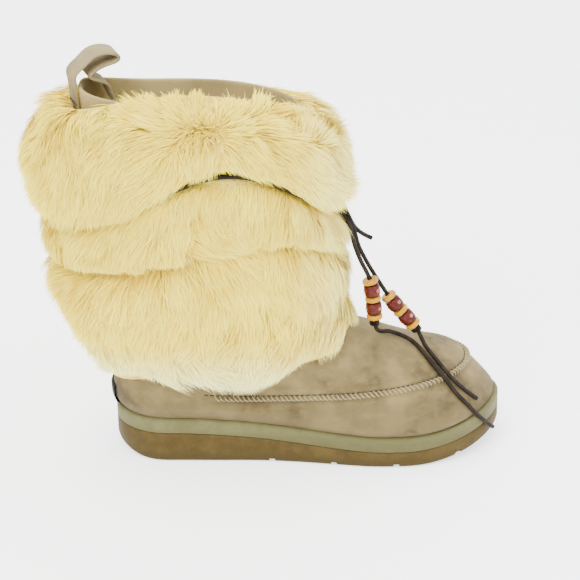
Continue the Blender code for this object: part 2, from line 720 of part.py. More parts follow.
def build_pull_loop(collection, root):
    """The suede strap sewn outside and inside the back of the collar, arched over it."""
    rows = upper_rows()
    heel = len(station_shares(UPPER_STATIONS)) - 1
    wall = rows[:, heel, :]
    collar = wall[-1]
    across = np.array((-math.sin(STRAP_TURN), math.cos(STRAP_TURN)))
    out = np.array((-math.cos(STRAP_TURN), -math.sin(STRAP_TURN)))

    def wall_span(below):
        """How far in and out the wall lies over the strap's width, at a height below the collar."""
        near = rows[:, heel - 5:heel + 6, :]
        ring = [
            [np.interp(collar[2] - below, near[:, k, 2], near[:, k, axis]) for axis in range(2)]
            for k in range(near.shape[1])
        ]
        local = np.array(ring) - collar[:2]
        away = local @ out
        w = local @ across
        order = np.argsort(w)
        over = np.interp(np.linspace(-0.52, 0.52, 21) * STRAP_WIDTH, w[order], away[order])
        return over.min(), over.max()

    def outside(below):
        """Middle of the strap where it lies on the outside of the wall."""
        return wall_span(below)[1] + SOFT_GAP + 0.5 * STRAP_THICKNESS

    def inside(below):
        """Middle of the strap where it lies on the inside of the wall."""
        return wall_span(below)[0] - 1.1 * WALL - SOFT_GAP - 0.5 * STRAP_THICKNESS

    path = [
        (outside(STRAP_SEWN), -STRAP_SEWN),
        (outside(0.5 * STRAP_SEWN), -0.5 * STRAP_SEWN),
        (outside(0.0), 0.0),
        (outside(0.0) + 0.02 * STRAP_REACH, 0.40 * STRAP_RISE),
        (-0.10 * STRAP_REACH, 0.70 * STRAP_RISE),
        (-0.36 * STRAP_REACH, 0.94 * STRAP_RISE),
        (-0.66 * STRAP_REACH, 1.00 * STRAP_RISE),
        (-0.92 * STRAP_REACH, 0.92 * STRAP_RISE),
        (-1.00 * STRAP_REACH, 0.78 * STRAP_RISE),
        (-0.88 * STRAP_REACH, 0.66 * STRAP_RISE),
        (-0.62 * STRAP_REACH, 0.54 * STRAP_RISE),
        (-0.38 * STRAP_REACH, 0.34 * STRAP_RISE),
        (inside(0.0) - 0.05 * STRAP_REACH, 0.06 * STRAP_RISE),
        (inside(0.4 * STRAP_SEWN), -0.4 * STRAP_SEWN),
        (inside(0.8 * STRAP_SEWN), -0.8 * STRAP_SEWN),
    ]
    path = np.array(path)
    line = [path[0]]
    for index in range(len(path) - 1):
        line += [smooth_between(path, index, k / 2) for k in (1, 2)]
    bm = bmesh.new()
    strips = []
    for u, z in line:
        pair = []
        for side in (-0.5, 0.5):
            w = side * STRAP_WIDTH
            pair.append(bm.verts.new((out[0] * u + across[0] * w, out[1] * u + across[1] * w, z)))
        strips.append(pair)
    for low, high in zip(strips, strips[1:]):
        bm.faces.new((low[0], low[1], high[1], high[0]))
    mesh = bpy.data.meshes.new("pull_loop")
    bm.to_mesh(mesh)
    bm.free()
    mesh.shade_smooth()
    obj = new_object("pull_loop", mesh, collection, root, principled("strap_suede", SUEDE, 0.9))
    obj.location = collar
    thick = obj.modifiers.new("thickness", "SOLIDIFY")
    thick.thickness = STRAP_THICKNESS
    thick.offset = 0.0
    return obj


def build_heel_tab(collection, root):
    """A plain tab on the back of the heel, between the midsole and the fur."""
    share, _ = both_sides(station_shares(UPPER_STATIONS))
    heel = len(station_shares(UPPER_STATIONS)) - 1
    columns = [heel - 2, heel - 1, heel, heel + 1, heel + 2]
    bm = bmesh.new()
    rows = []
    for step in range(4):
        height = np.full(len(share), SOFT_GAP + BAND_EDGE + HEEL_TAB_HEIGHT * step / 3)
        points, outward = wall_ring(height)
        rows.append([bm.verts.new(points[k] + outward[k] * SOFT_GAP) for k in columns])
    for low, high in zip(rows, rows[1:]):
        for k in range(len(columns) - 1):
            bm.faces.new((low[k], low[k + 1], high[k + 1], high[k]))
    mesh = bpy.data.meshes.new("heel_tab")
    bm.to_mesh(mesh)
    bm.free()
    mesh.shade_smooth()
    obj = new_object("heel_tab", mesh, collection, root, principled("dark_tab", DARK_TAB, 0.8))
    thick = obj.modifiers.new("thickness", "SOLIDIFY")
    thick.thickness = HEEL_TAB_THICKNESS
    thick.offset = 1.0
    return obj


def main():
    """Clears the scene and builds the boot."""
    for old in list(bpy.data.objects):
        bpy.data.objects.remove(old, do_unlink=True)
    boot = bpy.data.collections.new("shearling_boot")
    cutters = bpy.data.collections.new("cutters")
    for group in (boot, cutters):
        bpy.context.scene.collection.children.link(group)
    root = bpy.data.objects.new("boot_root", None)
    boot.objects.link(root)
    build_outsole(boot, cutters, root)
    build_midsole(boot, root)
    build_insole(boot, root)
    build_upper(boot, root)
    build_fur(boot, root, CORD_DIAMETER + 2 * SOFT_GAP)
    build_pull_loop(boot, root)
    build_heel_tab(boot, root)
    build_lace(boot, root)


main()
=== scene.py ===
"""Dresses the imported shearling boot: suede upper, rubber sole, long fur, and a beaded lace.

Metres, +Z up, toe towards +X, inner side of the right foot towards +Y.
"""

import logging
import math
from dataclasses import dataclass
from enum import Enum
from typing import Optional, Sequence, Union

import bpy
import numpy as np
from mathutils import Matrix, Vector
from mathutils.kdtree import KDTree


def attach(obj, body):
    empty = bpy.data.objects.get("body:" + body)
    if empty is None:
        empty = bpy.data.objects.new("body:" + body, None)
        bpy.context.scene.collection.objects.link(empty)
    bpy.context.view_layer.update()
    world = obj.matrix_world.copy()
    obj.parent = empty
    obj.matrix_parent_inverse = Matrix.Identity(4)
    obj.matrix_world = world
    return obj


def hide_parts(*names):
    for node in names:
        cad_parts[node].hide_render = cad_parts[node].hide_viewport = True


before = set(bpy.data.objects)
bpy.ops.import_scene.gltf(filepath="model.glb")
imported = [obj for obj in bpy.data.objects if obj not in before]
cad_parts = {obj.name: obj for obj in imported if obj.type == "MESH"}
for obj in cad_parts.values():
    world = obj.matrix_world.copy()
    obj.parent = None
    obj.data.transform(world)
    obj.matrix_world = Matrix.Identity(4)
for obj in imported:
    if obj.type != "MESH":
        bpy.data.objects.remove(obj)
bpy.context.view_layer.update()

LOG = logging.getLogger("shearling_boot")
Colour = tuple[float, float, float]
MM = 0.001


# Shaders


class Sock:
    """A socket in a material's nodes, on which Python's operators add Math nodes."""

    def __init__(self, shade: "Shade", socket: bpy.types.NodeSocket) -> None:
        """Wraps a socket.

        Args:
            shade: The material's node tree.
            socket: The output socket.
        """
        self.shade = shade
        self.socket = socket

    def __add__(self, other: "Value") -> "Sock":
        """This value plus another."""
        return self.shade.maths("ADD", self, other)

    def __rsub__(self, other: "Value") -> "Sock":
        """Another value less this one."""
        return self.shade.maths("SUBTRACT", other, self)

    def __mul__(self, other: "Value") -> "Sock":
        """This value times another."""
        return self.shade.maths("MULTIPLY", self, other)


Value = Union[Sock, float, int]


class Shade:
    """One material and its nodes."""

    def __init__(self, name: str, **constants: Union[float, tuple]) -> None:
        """Starts a material on a Principled shader.

        Args:
            name: The material's name.
            **constants: Values for the shader's own sockets, with _ for a space.
        """
        self.material = bpy.data.materials.new(name)
        self.material.use_nodes = True
        self.tree = self.material.node_tree
        self.shader = self.tree.nodes["Principled BSDF"]
        for key, value in constants.items():
            self.shader.inputs[key.replace("_", " ")].default_value = value

    def node(self, kind: str, settings: dict, values: dict, output: Union[int, str] = 0) -> Sock:
        """Adds a node.

        Args:
            kind: The node's type.
            settings: Attributes set before its sockets, or ramp stops under "stops".
            values: Numbers, colours or sockets by input name or index.
            output: Which output to give back.

        Returns:
            The output, wrapped.
        """
        made = self.tree.nodes.new(kind)
        for key, value in settings.items():
            if key == "stops":
                ramp = made.color_ramp
                while len(ramp.elements) < len(value):
                    ramp.elements.new(0.5)
                for element, (place, colour) in zip(ramp.elements, value):
                    element.position = place
                    element.color = (*colour, 1.0)
            else:
                setattr(made, key, value)
        for key, value in values.items():
            if isinstance(value, Sock):
                self.tree.links.new(value.socket, made.inputs[key])
            else:
                made.inputs[key].default_value = value
        return Sock(self, made.outputs[output])

    def maths(self, operation: str, *values: Value) -> Sock:
        """A Math node of one operation on one to three values."""
        return self.node("ShaderNodeMath", {"operation": operation}, dict(enumerate(values)))

    def mix(self, share: Value, first: Union[Sock, Colour], second: Union[Sock, Colour]) -> Sock:
        """A colour between two.

        Args:
            share: 0 for the first, 1 for the second.
            first: A colour or a socket.
            second: A colour or a socket.

        Returns:
            The mixed colour.
        """
        ends = [end if isinstance(end, Sock) else (*end, 1.0) for end in (first, second)]
        settings = {"data_type": "RGBA", "clamp_factor": True}
        return self.node("ShaderNodeMix", settings, {0: share, 6: ends[0], 7: ends[1]}, 2)

    def place(self, stretch: tuple[float, float, float] = (1.0, 1.0, 1.0)) -> Sock:
        """Where a point lies on its piece, stretched along the axes.

        Args:
            stretch: Scale along each axis.

        Returns:
            The place, wrapped.
        """
        here = self.node("ShaderNodeTexCoord", {}, {}, "Object")
        if stretch == (1.0, 1.0, 1.0):
            return here
        return self.node("ShaderNodeVectorMath", {"operation": "MULTIPLY"}, {0: here, 1: stretch})

    def noise(self, size: float, detail: float = 2.0, rough: float = 0.5,
              stretch: tuple[float, float, float] = (1.0, 1.0, 1.0)) -> Sock:
        """Cloudy noise from 0 to 1.

        Args:
            size: Size of a cloud, in metres.
            detail: How many finer layers it has.
            rough: How strong the finer layers are.
            stretch: Scale of the noise along each axis.

        Returns:
            The noise's value.
        """
        values = {"Vector": self.place(stretch), "Scale": 1.0 / size, "Detail": detail, "Roughness": rough}
        return self.node("ShaderNodeTexNoise", {}, values)

    def ease(self, value: Sock, low: float, high: float) -> Sock:
        """0 below low, 1 above high and an eased rise between."""
        settings = {"interpolation_type": "SMOOTHSTEP"}
        return self.node("ShaderNodeMapRange", settings, {"Value": value, "From Min": low, "From Max": high})

    def height(self) -> Sock:
        """The height of a point above the floor."""
        return self.node("ShaderNodeSeparateXYZ", {}, {0: self.place()}, "Z")

    def along(self) -> Sock:
        """How far towards the toe a point lies."""
        return self.node("ShaderNodeSeparateXYZ", {}, {0: self.place()}, "X")

    def kept(self, name: str) -> Sock:
        """A number that the mesh keeps at its points."""
        settings = {"attribute_type": "GEOMETRY", "attribute_name": name}
        return self.node("ShaderNodeAttribute", settings, {}, "Fac")

    def done(self, colour: Sock, roughness: Optional[Sock] = None,
             relief: Optional[Sock] = None, depth: float = 0.0) -> bpy.types.Material:
        """Joins the results to the shader.

        Args:
            colour: The base colour.
            roughness: The roughness, where it varies.
            relief: Height of the fine relief, 0 to 1.
            depth: The relief's depth, in metres.

        Returns:
            The material.
        """
        self.tree.links.new(colour.socket, self.shader.inputs["Base Color"])
        if roughness is not None:
            self.tree.links.new(roughness.socket, self.shader.inputs["Roughness"])
        if relief is not None:
            bump = self.node("ShaderNodeBump", {}, {"Height": relief, "Distance": depth, "Strength": 1.0})
            self.tree.links.new(bump.socket, self.shader.inputs["Normal"])
        return self.material


@dataclass(frozen=True)
class Suede:
    """Napped suede, mottled where the nap lies in different ways."""

    name: str
    light: Colour
    middle: Colour
    dark: Colour
    nap: float = 0.0005
    stroke: float = 0.007
    cloud: float = 0.034
    speck: float = 0.0016
    depth: float = 0.00035
    darker_below: float = 0.0
    painted_light_above: float = 0.0

    def material(self) -> bpy.types.Material:
        """The suede's material.

        Returns:
            The material.
        """
        shade = Shade(
            self.name, Roughness=0.95, Specular_IOR_Level=0.1, Sheen_Weight=0.06, Sheen_Roughness=0.6,
        )
        clouds = shade.noise(self.cloud, 3.0, 0.55)
        strokes = shade.noise(self.stroke, 3.0, 0.6, (0.7, 1.0, 1.3))
        fine = shade.noise(self.nap, 2.0, 0.7)
        colour = shade.mix(shade.ease(clouds, 0.34, 0.50), self.dark, self.middle)
        colour = shade.mix(shade.ease(clouds, 0.50, 0.66) * 0.7, colour, self.light)
        colour = shade.mix(shade.ease(strokes, 0.45, 0.75) * 0.4, colour, self.light)
        colour = shade.mix(shade.ease(fine, 0.35, 0.8) * 0.35, colour, self.light)
        specks = shade.ease(shade.noise(self.speck, 2.0, 0.6), 0.62, 0.75)
        colour = shade.mix(specks * 0.25, colour, self.dark)
        # Darker in patches towards the sole.
        if self.darker_below > 0.0:
            low = 1.0 - shade.ease(shade.height(), self.darker_below - 0.010, self.darker_below)
            colour = shade.mix(low * clouds * 0.55, colour, self.dark)
        # Painted light: high on the shaft, mostly on the collar's facing inside it, the suede is painted
        # paler to lift the shade that falls there.
        if self.painted_light_above > 0.0:
            high = shade.ease(shade.height(), self.painted_light_above, self.painted_light_above + 0.015)
            painted_light_colour = tuple(min(1.0, part * 1.9) for part in self.light)
            colour = shade.mix(high * (clouds * 0.6 + 0.25), colour, painted_light_colour)
        return shade.done(colour, None, fine * 0.7 + strokes * 0.6, self.depth)


@dataclass(frozen=True)
class SoleRubber:
    """Matt rubber with a skin of fine pits and scuffs, darker in patches towards its bottom."""

    name: str
    colour: Colour
    worn: Colour
    dark_tone: Colour
    darkening_top: float
    darkening_height: float
    roughness: float = 0.62
    cloud: float = 0.016
    pit: float = 0.0009
    scuff: float = 0.009
    depth: float = 0.00025

    def material(self) -> bpy.types.Material:
        """The rubber's material.

        Returns:
            The material.
        """
        shade = Shade(self.name, Specular_IOR_Level=0.12)
        clouds = shade.noise(self.cloud, 4.0, 0.65)
        pits = shade.noise(self.pit, 2.0, 0.6)
        scuffs = shade.ease(shade.noise(self.scuff, 5.0, 0.7, (0.35, 0.5, 2.4)), 0.58, 0.72)
        colour = shade.mix(shade.ease(clouds, 0.35, 0.7), self.colour, self.worn)
        colour = shade.mix(scuffs * 0.35, colour, self.worn)
        # Darker in patches towards the bottom.
        low = 1.0 - shade.ease(shade.height(), self.darkening_top - self.darkening_height, self.darkening_top)
        colour = shade.mix(low * shade.ease(clouds, 0.3, 0.65) * 0.6, colour, self.dark_tone)
        colour = shade.mix(shade.ease(pits, 0.6, 0.75) * 0.2, colour, self.dark_tone)
        roughness = scuffs * 0.15 + clouds * 0.12 + (self.roughness - 0.06)
        return shade.done(colour, roughness, pits + clouds * 0.8, self.depth)


@dataclass(frozen=True)
class Fur:
    """Wool hair: golden in patches and golden brown at its roots, darker there partly as its own tone and
    partly as painted shade where the hairs lie over each other; pale at its tips and towards the sole.
    """

    name: str
    root: Colour
    middle: Colour
    tip: Colour
    golden: Colour
    bleached: Colour
    patch: float = 0.036
    bleached_below: float = 0.100
    bleached_fully: float = 0.055
    golden_zone: tuple[float, float, float, float] = (0.125, 0.150, 0.180, 0.205)
    paler_towards_toe: tuple[float, float] = (-0.020, 0.035)

    def material(self) -> bpy.types.Material:
        """The hair's material, which reads how far along its hair a point lies and each hair's tone.

        Returns:
            The material.
        """
        shade = Shade(self.name, Roughness=0.85, Specular_IOR_Level=0.06)
        along = shade.kept("along")
        tone = shade.kept("tone")
        # Darker at the roots: partly the wool's own tone, partly painted shade where the hairs cover each
        # other.
        colour = shade.mix(shade.ease(along, 0.0, 0.45), self.root, self.middle)
        patches = shade.ease(shade.noise(self.patch, 3.0, 0.6), 0.44, 0.64)
        low, full, fading, high = self.golden_zone
        zone = shade.ease(shade.height(), low, full) * (1.0 - shade.ease(shade.height(), fading, high))
        colour = shade.mix(patches * 0.7 + zone * 0.35, colour, self.golden)
        colour = shade.mix(shade.ease(along + tone * 0.6, 0.70, 1.45), colour, self.tip)
        low = 1.0 - shade.ease(shade.height(), self.bleached_fully, self.bleached_below)
        faded = shade.maths("MAXIMUM", low, shade.ease(shade.along(), *self.paler_towards_toe) * 0.6)
        colour = shade.mix(faded * shade.ease(along, 0.1, 0.7) * 0.85, colour, self.bleached)
        return shade.done(colour)


@dataclass(frozen=True)
class Fleece:
    """Short curly wool, seen between the long hairs and inside the shaft."""

    name: str
    shaded_hollow: Colour
    crown: Colour
    curl: float = 0.0022
    cloud: float = 0.012
    depth: float = 0.0016

    def material(self) -> bpy.types.Material:
        """The fleece's material.

        Returns:
            The material.
        """
        shade = Shade(
            self.name, Roughness=0.95, Specular_IOR_Level=0.08, Sheen_Weight=0.08, Sheen_Roughness=0.5,
        )
        curls = shade.noise(self.curl, 3.0, 0.65)
        clouds = shade.noise(self.cloud, 3.0, 0.6)
        # Painted shade: the hollows between the curls, low in the relief, are painted darker than the crowns.
        colour = shade.mix(shade.ease(curls * 0.7 + clouds * 0.3, 0.34, 0.62), self.shaded_hollow, self.crown)
        return shade.done(colour, None, curls, self.depth)


@dataclass(frozen=True)
class LaceLeather:
    """Dark, slightly waxed round lace with worn patches."""

    name: str
    colour: Colour
    worn: Colour
    grain: float = 0.0007
    cloud: float = 0.006
    depth: float = 0.00025

    def material(self) -> bpy.types.Material:
        """The lace's material.

        Returns:
            The material.
        """
        shade = Shade(self.name, Specular_IOR_Level=0.10)
        grain = shade.noise(self.grain, 3.0, 0.6)
        clouds = shade.noise(self.cloud, 3.0, 0.6)
        colour = shade.mix(shade.ease(clouds * 0.6 + grain * 0.4, 0.4, 0.68), self.colour, self.worn)
        return shade.done(colour, clouds * 0.25 + 0.42, grain, self.depth)


@dataclass(frozen=True)
class Glaze:
    """Glossy coloured glass or resin with soft streaks."""

    name: str
    colour: Colour
    streak: Colour
    roughness: float = 0.34
    streak_size: float = 0.0025
    depth: float = 0.0001

    def material(self) -> bpy.types.Material:
        """The bead's material.

        Returns:
            The material.
        """
        shade = Shade(self.name, Roughness=self.roughness, Specular_IOR_Level=0.12, Coat_Weight=0.06)
        streaks = shade.noise(self.streak_size, 4.0, 0.6)
        colour = shade.mix(shade.ease(streaks, 0.45, 0.75), self.colour, self.streak)
        return shade.done(colour, None, streaks, self.depth)


@dataclass(frozen=True)
class Thread:
    """Twisted sewing thread."""

    name: str
    colour: Colour
    shadow: Colour
    twist: float = 0.0006
    depth: float = 0.0001

    def material(self) -> bpy.types.Material:
        """The thread's material.

        Returns:
            The material.
        """
        shade = Shade(self.name, Roughness=0.8, Specular_IOR_Level=0.3)
        twist = shade.noise(self.twist, 2.0, 0.6)
        colour = shade.mix(shade.ease(twist, 0.35, 0.65), self.shadow, self.colour)
        return shade.done(colour, None, twist, self.depth)


TAUPE_SUEDE = Suede(
    "taupe_suede", (0.215, 0.163, 0.066), (0.128, 0.093, 0.037), (0.054, 0.038, 0.016),
    darker_below=0.052, painted_light_above=0.215,
)
STRAP_SUEDE = Suede("strap_suede", (0.250, 0.196, 0.090), (0.170, 0.130, 0.056), (0.095, 0.072, 0.032))
TAB_SUEDE = Suede("tab_leather", (0.022, 0.018, 0.014), (0.013, 0.010, 0.008), (0.007, 0.006, 0.005))
GUM_RUBBER = SoleRubber(
    "gum_rubber", (0.047, 0.030, 0.006), (0.068, 0.045, 0.011), (0.022, 0.015, 0.004), 0.010, 0.009,
)
BAND_RUBBER = SoleRubber(
    "band_rubber", (0.092, 0.085, 0.031), (0.120, 0.114, 0.046), (0.050, 0.043, 0.014), 0.028, 0.012,
)
LONG_FUR = Fur(
    "long_fur", (0.50, 0.34, 0.035), (0.84, 0.635, 0.040), (0.96, 0.83, 0.10), (0.68, 0.44, 0.016),
    (0.95, 0.92, 0.44),
)
UNDER_FLEECE = Fleece("under_fleece", (0.46, 0.33, 0.05), (0.74, 0.57, 0.09))
LINING_FLEECE = Fleece("lining_fleece", (0.30, 0.23, 0.09), (0.50, 0.42, 0.18))
DARK_LACE = LaceLeather("dark_lace", (0.008, 0.005, 0.003), (0.022, 0.015, 0.009))
YELLOW_GLAZE = Glaze("yellow_glaze", (0.36, 0.165, 0.003), (0.50, 0.27, 0.02))
RED_GLAZE = Glaze("red_glaze", (0.050, 0.005, 0.002), (0.100, 0.012, 0.006))
PALE_DOT = Glaze("pale_dot", (0.26, 0.075, 0.060), (0.40, 0.17, 0.15))
PALE_THREAD = Thread("pale_thread", (0.36, 0.31, 0.17), (0.20, 0.16, 0.08))
DARK_THREAD = Thread("dark_thread", (0.035, 0.025, 0.015), (0.015, 0.011, 0.008))


# Mesh helpers

ALONG_NO_TUBE = (0.123, 0.231, 0.964)

def smooth_share(low: float, high: float, value: np.ndarray) -> np.ndarray:
    """0 below low, 1 above high and an eased rise between."""
    share = np.clip((value - low) / (high - low), 0.0, 1.0)
    return share * share * (3.0 - 2.0 * share)


def along_four(values: Sequence[float], share: np.ndarray) -> np.ndarray:
    """A cubic through four values at equal steps of share.

    Args:
        values: The values at 0, 1/3, 2/3 and 1.
        share: Where to read the cubic.

    Returns:
        The cubic's values.
    """
    third = np.asarray(share, float) * 3.0
    total = np.zeros_like(third)
    for i, value in enumerate(values):
        term = np.full_like(third, float(value))
        for j in range(4):
            if j != i:
                term = term * (third - j) / (i - j)
        total = total + term
    return total


def eased(t: Union[float, np.ndarray], start: np.ndarray, lead: np.ndarray, end: np.ndarray,
          trail: np.ndarray) -> np.ndarray:
    """A smooth curve from start to end.

    Args:
        t: How far along, from 0 to 1.
        start: Where it starts.
        lead: Its slope at the start.
        end: Where it ends.
        trail: Its slope at the end.

    Returns:
        The curve's value.
    """
    return (
        (2 * t ** 3 - 3 * t ** 2 + 1) * start + (t ** 3 - 2 * t ** 2 + t) * lead
        + (3 * t ** 2 - 2 * t ** 3) * end + (t ** 3 - t ** 2) * trail
    )


def smooth_table(x: np.ndarray, xs: np.ndarray, ys: np.ndarray) -> np.ndarray:
    """A smooth curve through a table's values.

    Args:
        x: Where to read the curve.
        xs: The table's places, rising.
        ys: The table's values.

    Returns:
        The curve's values at x.
    """
    slope = np.gradient(ys, xs)
    x = np.clip(x, xs[0], xs[-1])
    k = np.clip(np.searchsorted(xs, x, side="right") - 1, 0, len(xs) - 2)
    step = xs[k + 1] - xs[k]
    t = (x - xs[k]) / step
    return eased(t, ys[k], slope[k] * step, ys[k + 1], slope[k + 1] * step)


def unit(vectors: np.ndarray) -> np.ndarray:
    """The vectors at length 1."""
    return vectors / np.maximum(np.linalg.norm(vectors, axis=-1, keepdims=True), 1e-12)


def grid_normals(rows: np.ndarray, closed: bool = True) -> np.ndarray:
    """Outward directions on a grid of rings.

    Args:
        rows: Points, ring by ring.
        closed: Whether each ring closes on itself.

    Returns:
        A direction for each point.
    """
    across = np.roll(rows, -1, axis=1) - np.roll(rows, 1, axis=1) if closed else np.gradient(rows, axis=1)
    return unit(np.cross(across, np.gradient(rows, axis=0)))


def mesh_piece(name: str, points: np.ndarray, faces: np.ndarray, material: bpy.types.Material,
               kept: Optional[dict[str, np.ndarray]] = None) -> bpy.types.Object:
    """An object from arrays of points and faces.

    Args:
        name: The piece's name.
        points: One row a point.
        faces: One row a face, three or four points each.
        material: What it is made of.
        kept: Numbers to keep at the points.

    Returns:
        The object, in the scene.
    """
    mesh = bpy.data.meshes.new(name)
    faces = np.asarray(faces, np.int32)
    corners = faces.shape[1]
    mesh.vertices.add(len(points))
    mesh.vertices.foreach_set("co", np.asarray(points, np.float32).ravel())
    mesh.loops.add(faces.size)
    mesh.loops.foreach_set("vertex_index", faces.ravel())
    mesh.polygons.add(len(faces))
    mesh.polygons.foreach_set("loop_start", np.arange(0, faces.size, corners, dtype=np.int32))
    mesh.polygons.foreach_set("use_smooth", np.ones(len(faces), bool))
    for key, values in (kept or {}).items():
        layer = mesh.attributes.new(key, "FLOAT", "POINT")
        layer.data.foreach_set("value", np.asarray(values, np.float32))
    mesh.update(calc_edges=True)
    mesh.validate()
    mesh.materials.append(material)
    piece = bpy.data.objects.new(name, mesh)
    bpy.context.scene.collection.objects.link(piece)
    return piece


def grid_faces(rows: int, columns: int, closed: bool = True, closed_section: bool = False) -> np.ndarray:
    """Four-sided faces of a grid.

    Args:
        rows: How many rows of points.
        columns: How many points a row.
        closed: Whether each row closes on itself.
        closed_section: Whether the last row joins the first.

    Returns:
        One row a face.
    """
    r = np.arange(rows if closed_section else rows - 1)[:, None]
    c = np.arange(columns if closed else columns - 1)[None, :]
    up = (r + 1) % rows
    after = (c + 1) % columns
    corners = (r * columns + c, r * columns + after, up * columns + after, up * columns + c)
    return np.stack([corner.ravel() for corner in corners], axis=1)


def grid_piece(name: str, rows: np.ndarray, material: bpy.types.Material, closed: bool = True,
               closed_section: bool = False) -> bpy.types.Object:
    """An object from a grid of points, ring by ring."""
    faces = grid_faces(rows.shape[0], rows.shape[1], closed, closed_section)
    return mesh_piece(name, rows.reshape(-1, 3), faces, material)


def tubes_piece(name: str, paths: np.ndarray, radius: Union[float, np.ndarray], sides: int,
                material: bpy.types.Material) -> bpy.types.Object:
    """Many short round tubes as one mesh.

    Args:
        name: The piece's name.
        paths: Points, one row of points a tube.
        radius: The tubes' radius, or one for each point along them.
        sides: How many sides a tube has.
        material: What it is made of.

    Returns:
        The object.
    """
    count, steps, _ = paths.shape
    tangent = unit(np.gradient(paths, axis=1))
    side = unit(np.cross(tangent, np.array(ALONG_NO_TUBE)))
    other = np.cross(tangent, side)
    angle = np.arange(sides) / sides * 2 * math.pi
    wide = np.broadcast_to(np.asarray(radius, float), (steps,))[None, :, None, None]
    ring = side[:, :, None, :] * np.cos(angle)[:, None] + other[:, :, None, :] * np.sin(angle)[:, None]
    points = (paths[:, :, None, :] + wide * ring).reshape(-1, 3)
    one = grid_faces(steps, sides)
    faces = (one[None] + (np.arange(count) * steps * sides)[:, None, None]).reshape(-1, 4)
    return mesh_piece(name, points, faces, material)


def held(piece: bpy.types.Object, slot: str, *nodes: str) -> bpy.types.Object:
    """Makes a piece ride on the boot and stand for CAD nodes.

    Args:
        piece: The piece.
        slot: The slot of its finish; not used.
        *nodes: The CAD nodes that it stands for.

    Returns:
        The piece.
    """
    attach(piece, "root")
    if nodes:
        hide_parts(*nodes)
    LOG.info("%s stands for %s", piece.name, ", ".join(nodes) or "no node")
    return piece


def smooth_between(rings: Sequence[np.ndarray], index: int, t: float) -> np.ndarray:
    """A point t of the way from ring index to the next, on a smooth curve through the rings.

    Args:
        rings: Rings, or points.
        index: The ring before the point.
        t: How far towards the next ring, 0 to 1.

    Returns:
        The point, or the ring's points.
    """
    start, end = rings[index], rings[index + 1]
    lead = 0.5 * (end - rings[max(index - 1, 0)])
    trail = 0.5 * (rings[min(index + 2, len(rings) - 1)] - start)
    return eased(t, start, lead, end, trail)


def distances(line: np.ndarray) -> np.ndarray:
    """How far along a line each of its points lies."""
    return np.concatenate(([0.0], np.cumsum(np.linalg.norm(np.diff(line, axis=0), axis=1))))


def smooth_route(points: Sequence[Sequence[float]], step: float) -> np.ndarray:
    """Points at equal steps of length along a smooth curve through the given ones.

    Args:
        points: The route's points, in metres.
        step: About how far apart the new points lie.

    Returns:
        One row a point.
    """
    given = np.array(points)
    fine = [given[0]]
    for index in range(len(given) - 1):
        fine += [smooth_between(given, index, k / 12) for k in range(1, 13)]
    line = np.array(fine)
    length = distances(line)
    wanted = np.linspace(0.0, length[-1], max(3, round(length[-1] / step) + 1))
    return np.stack([np.interp(wanted, length, line[:, axis]) for axis in range(3)], axis=1)


def on_columns(levels: np.ndarray, grid: np.ndarray, wanted: Sequence[float],
               columns: Sequence[int]) -> np.ndarray:
    """Values of a grid's columns at wanted levels.

    Args:
        levels: The level of each point, rising along a column.
        grid: The values at the points.
        wanted: A level for each column.
        columns: Which columns to read.

    Returns:
        One row of values a column.
    """
    return np.array([
        [np.interp(level, levels[:, c], grid[:, c, axis]) for axis in range(grid.shape[2])]
        for level, c in zip(wanted, columns)
    ])


def ring_normals(ring: np.ndarray) -> np.ndarray:
    """Outward directions in plan for a closed ring that runs anticlockwise."""
    tangent = np.roll(ring, -1, axis=0) - np.roll(ring, 1, axis=0)
    return unit(np.stack((tangent[:, 1], -tangent[:, 0]), axis=1))


# The boot's form


class Side(Enum):
    """A side of the boot."""

    INNER = 1.0
    OUTER = -1.0


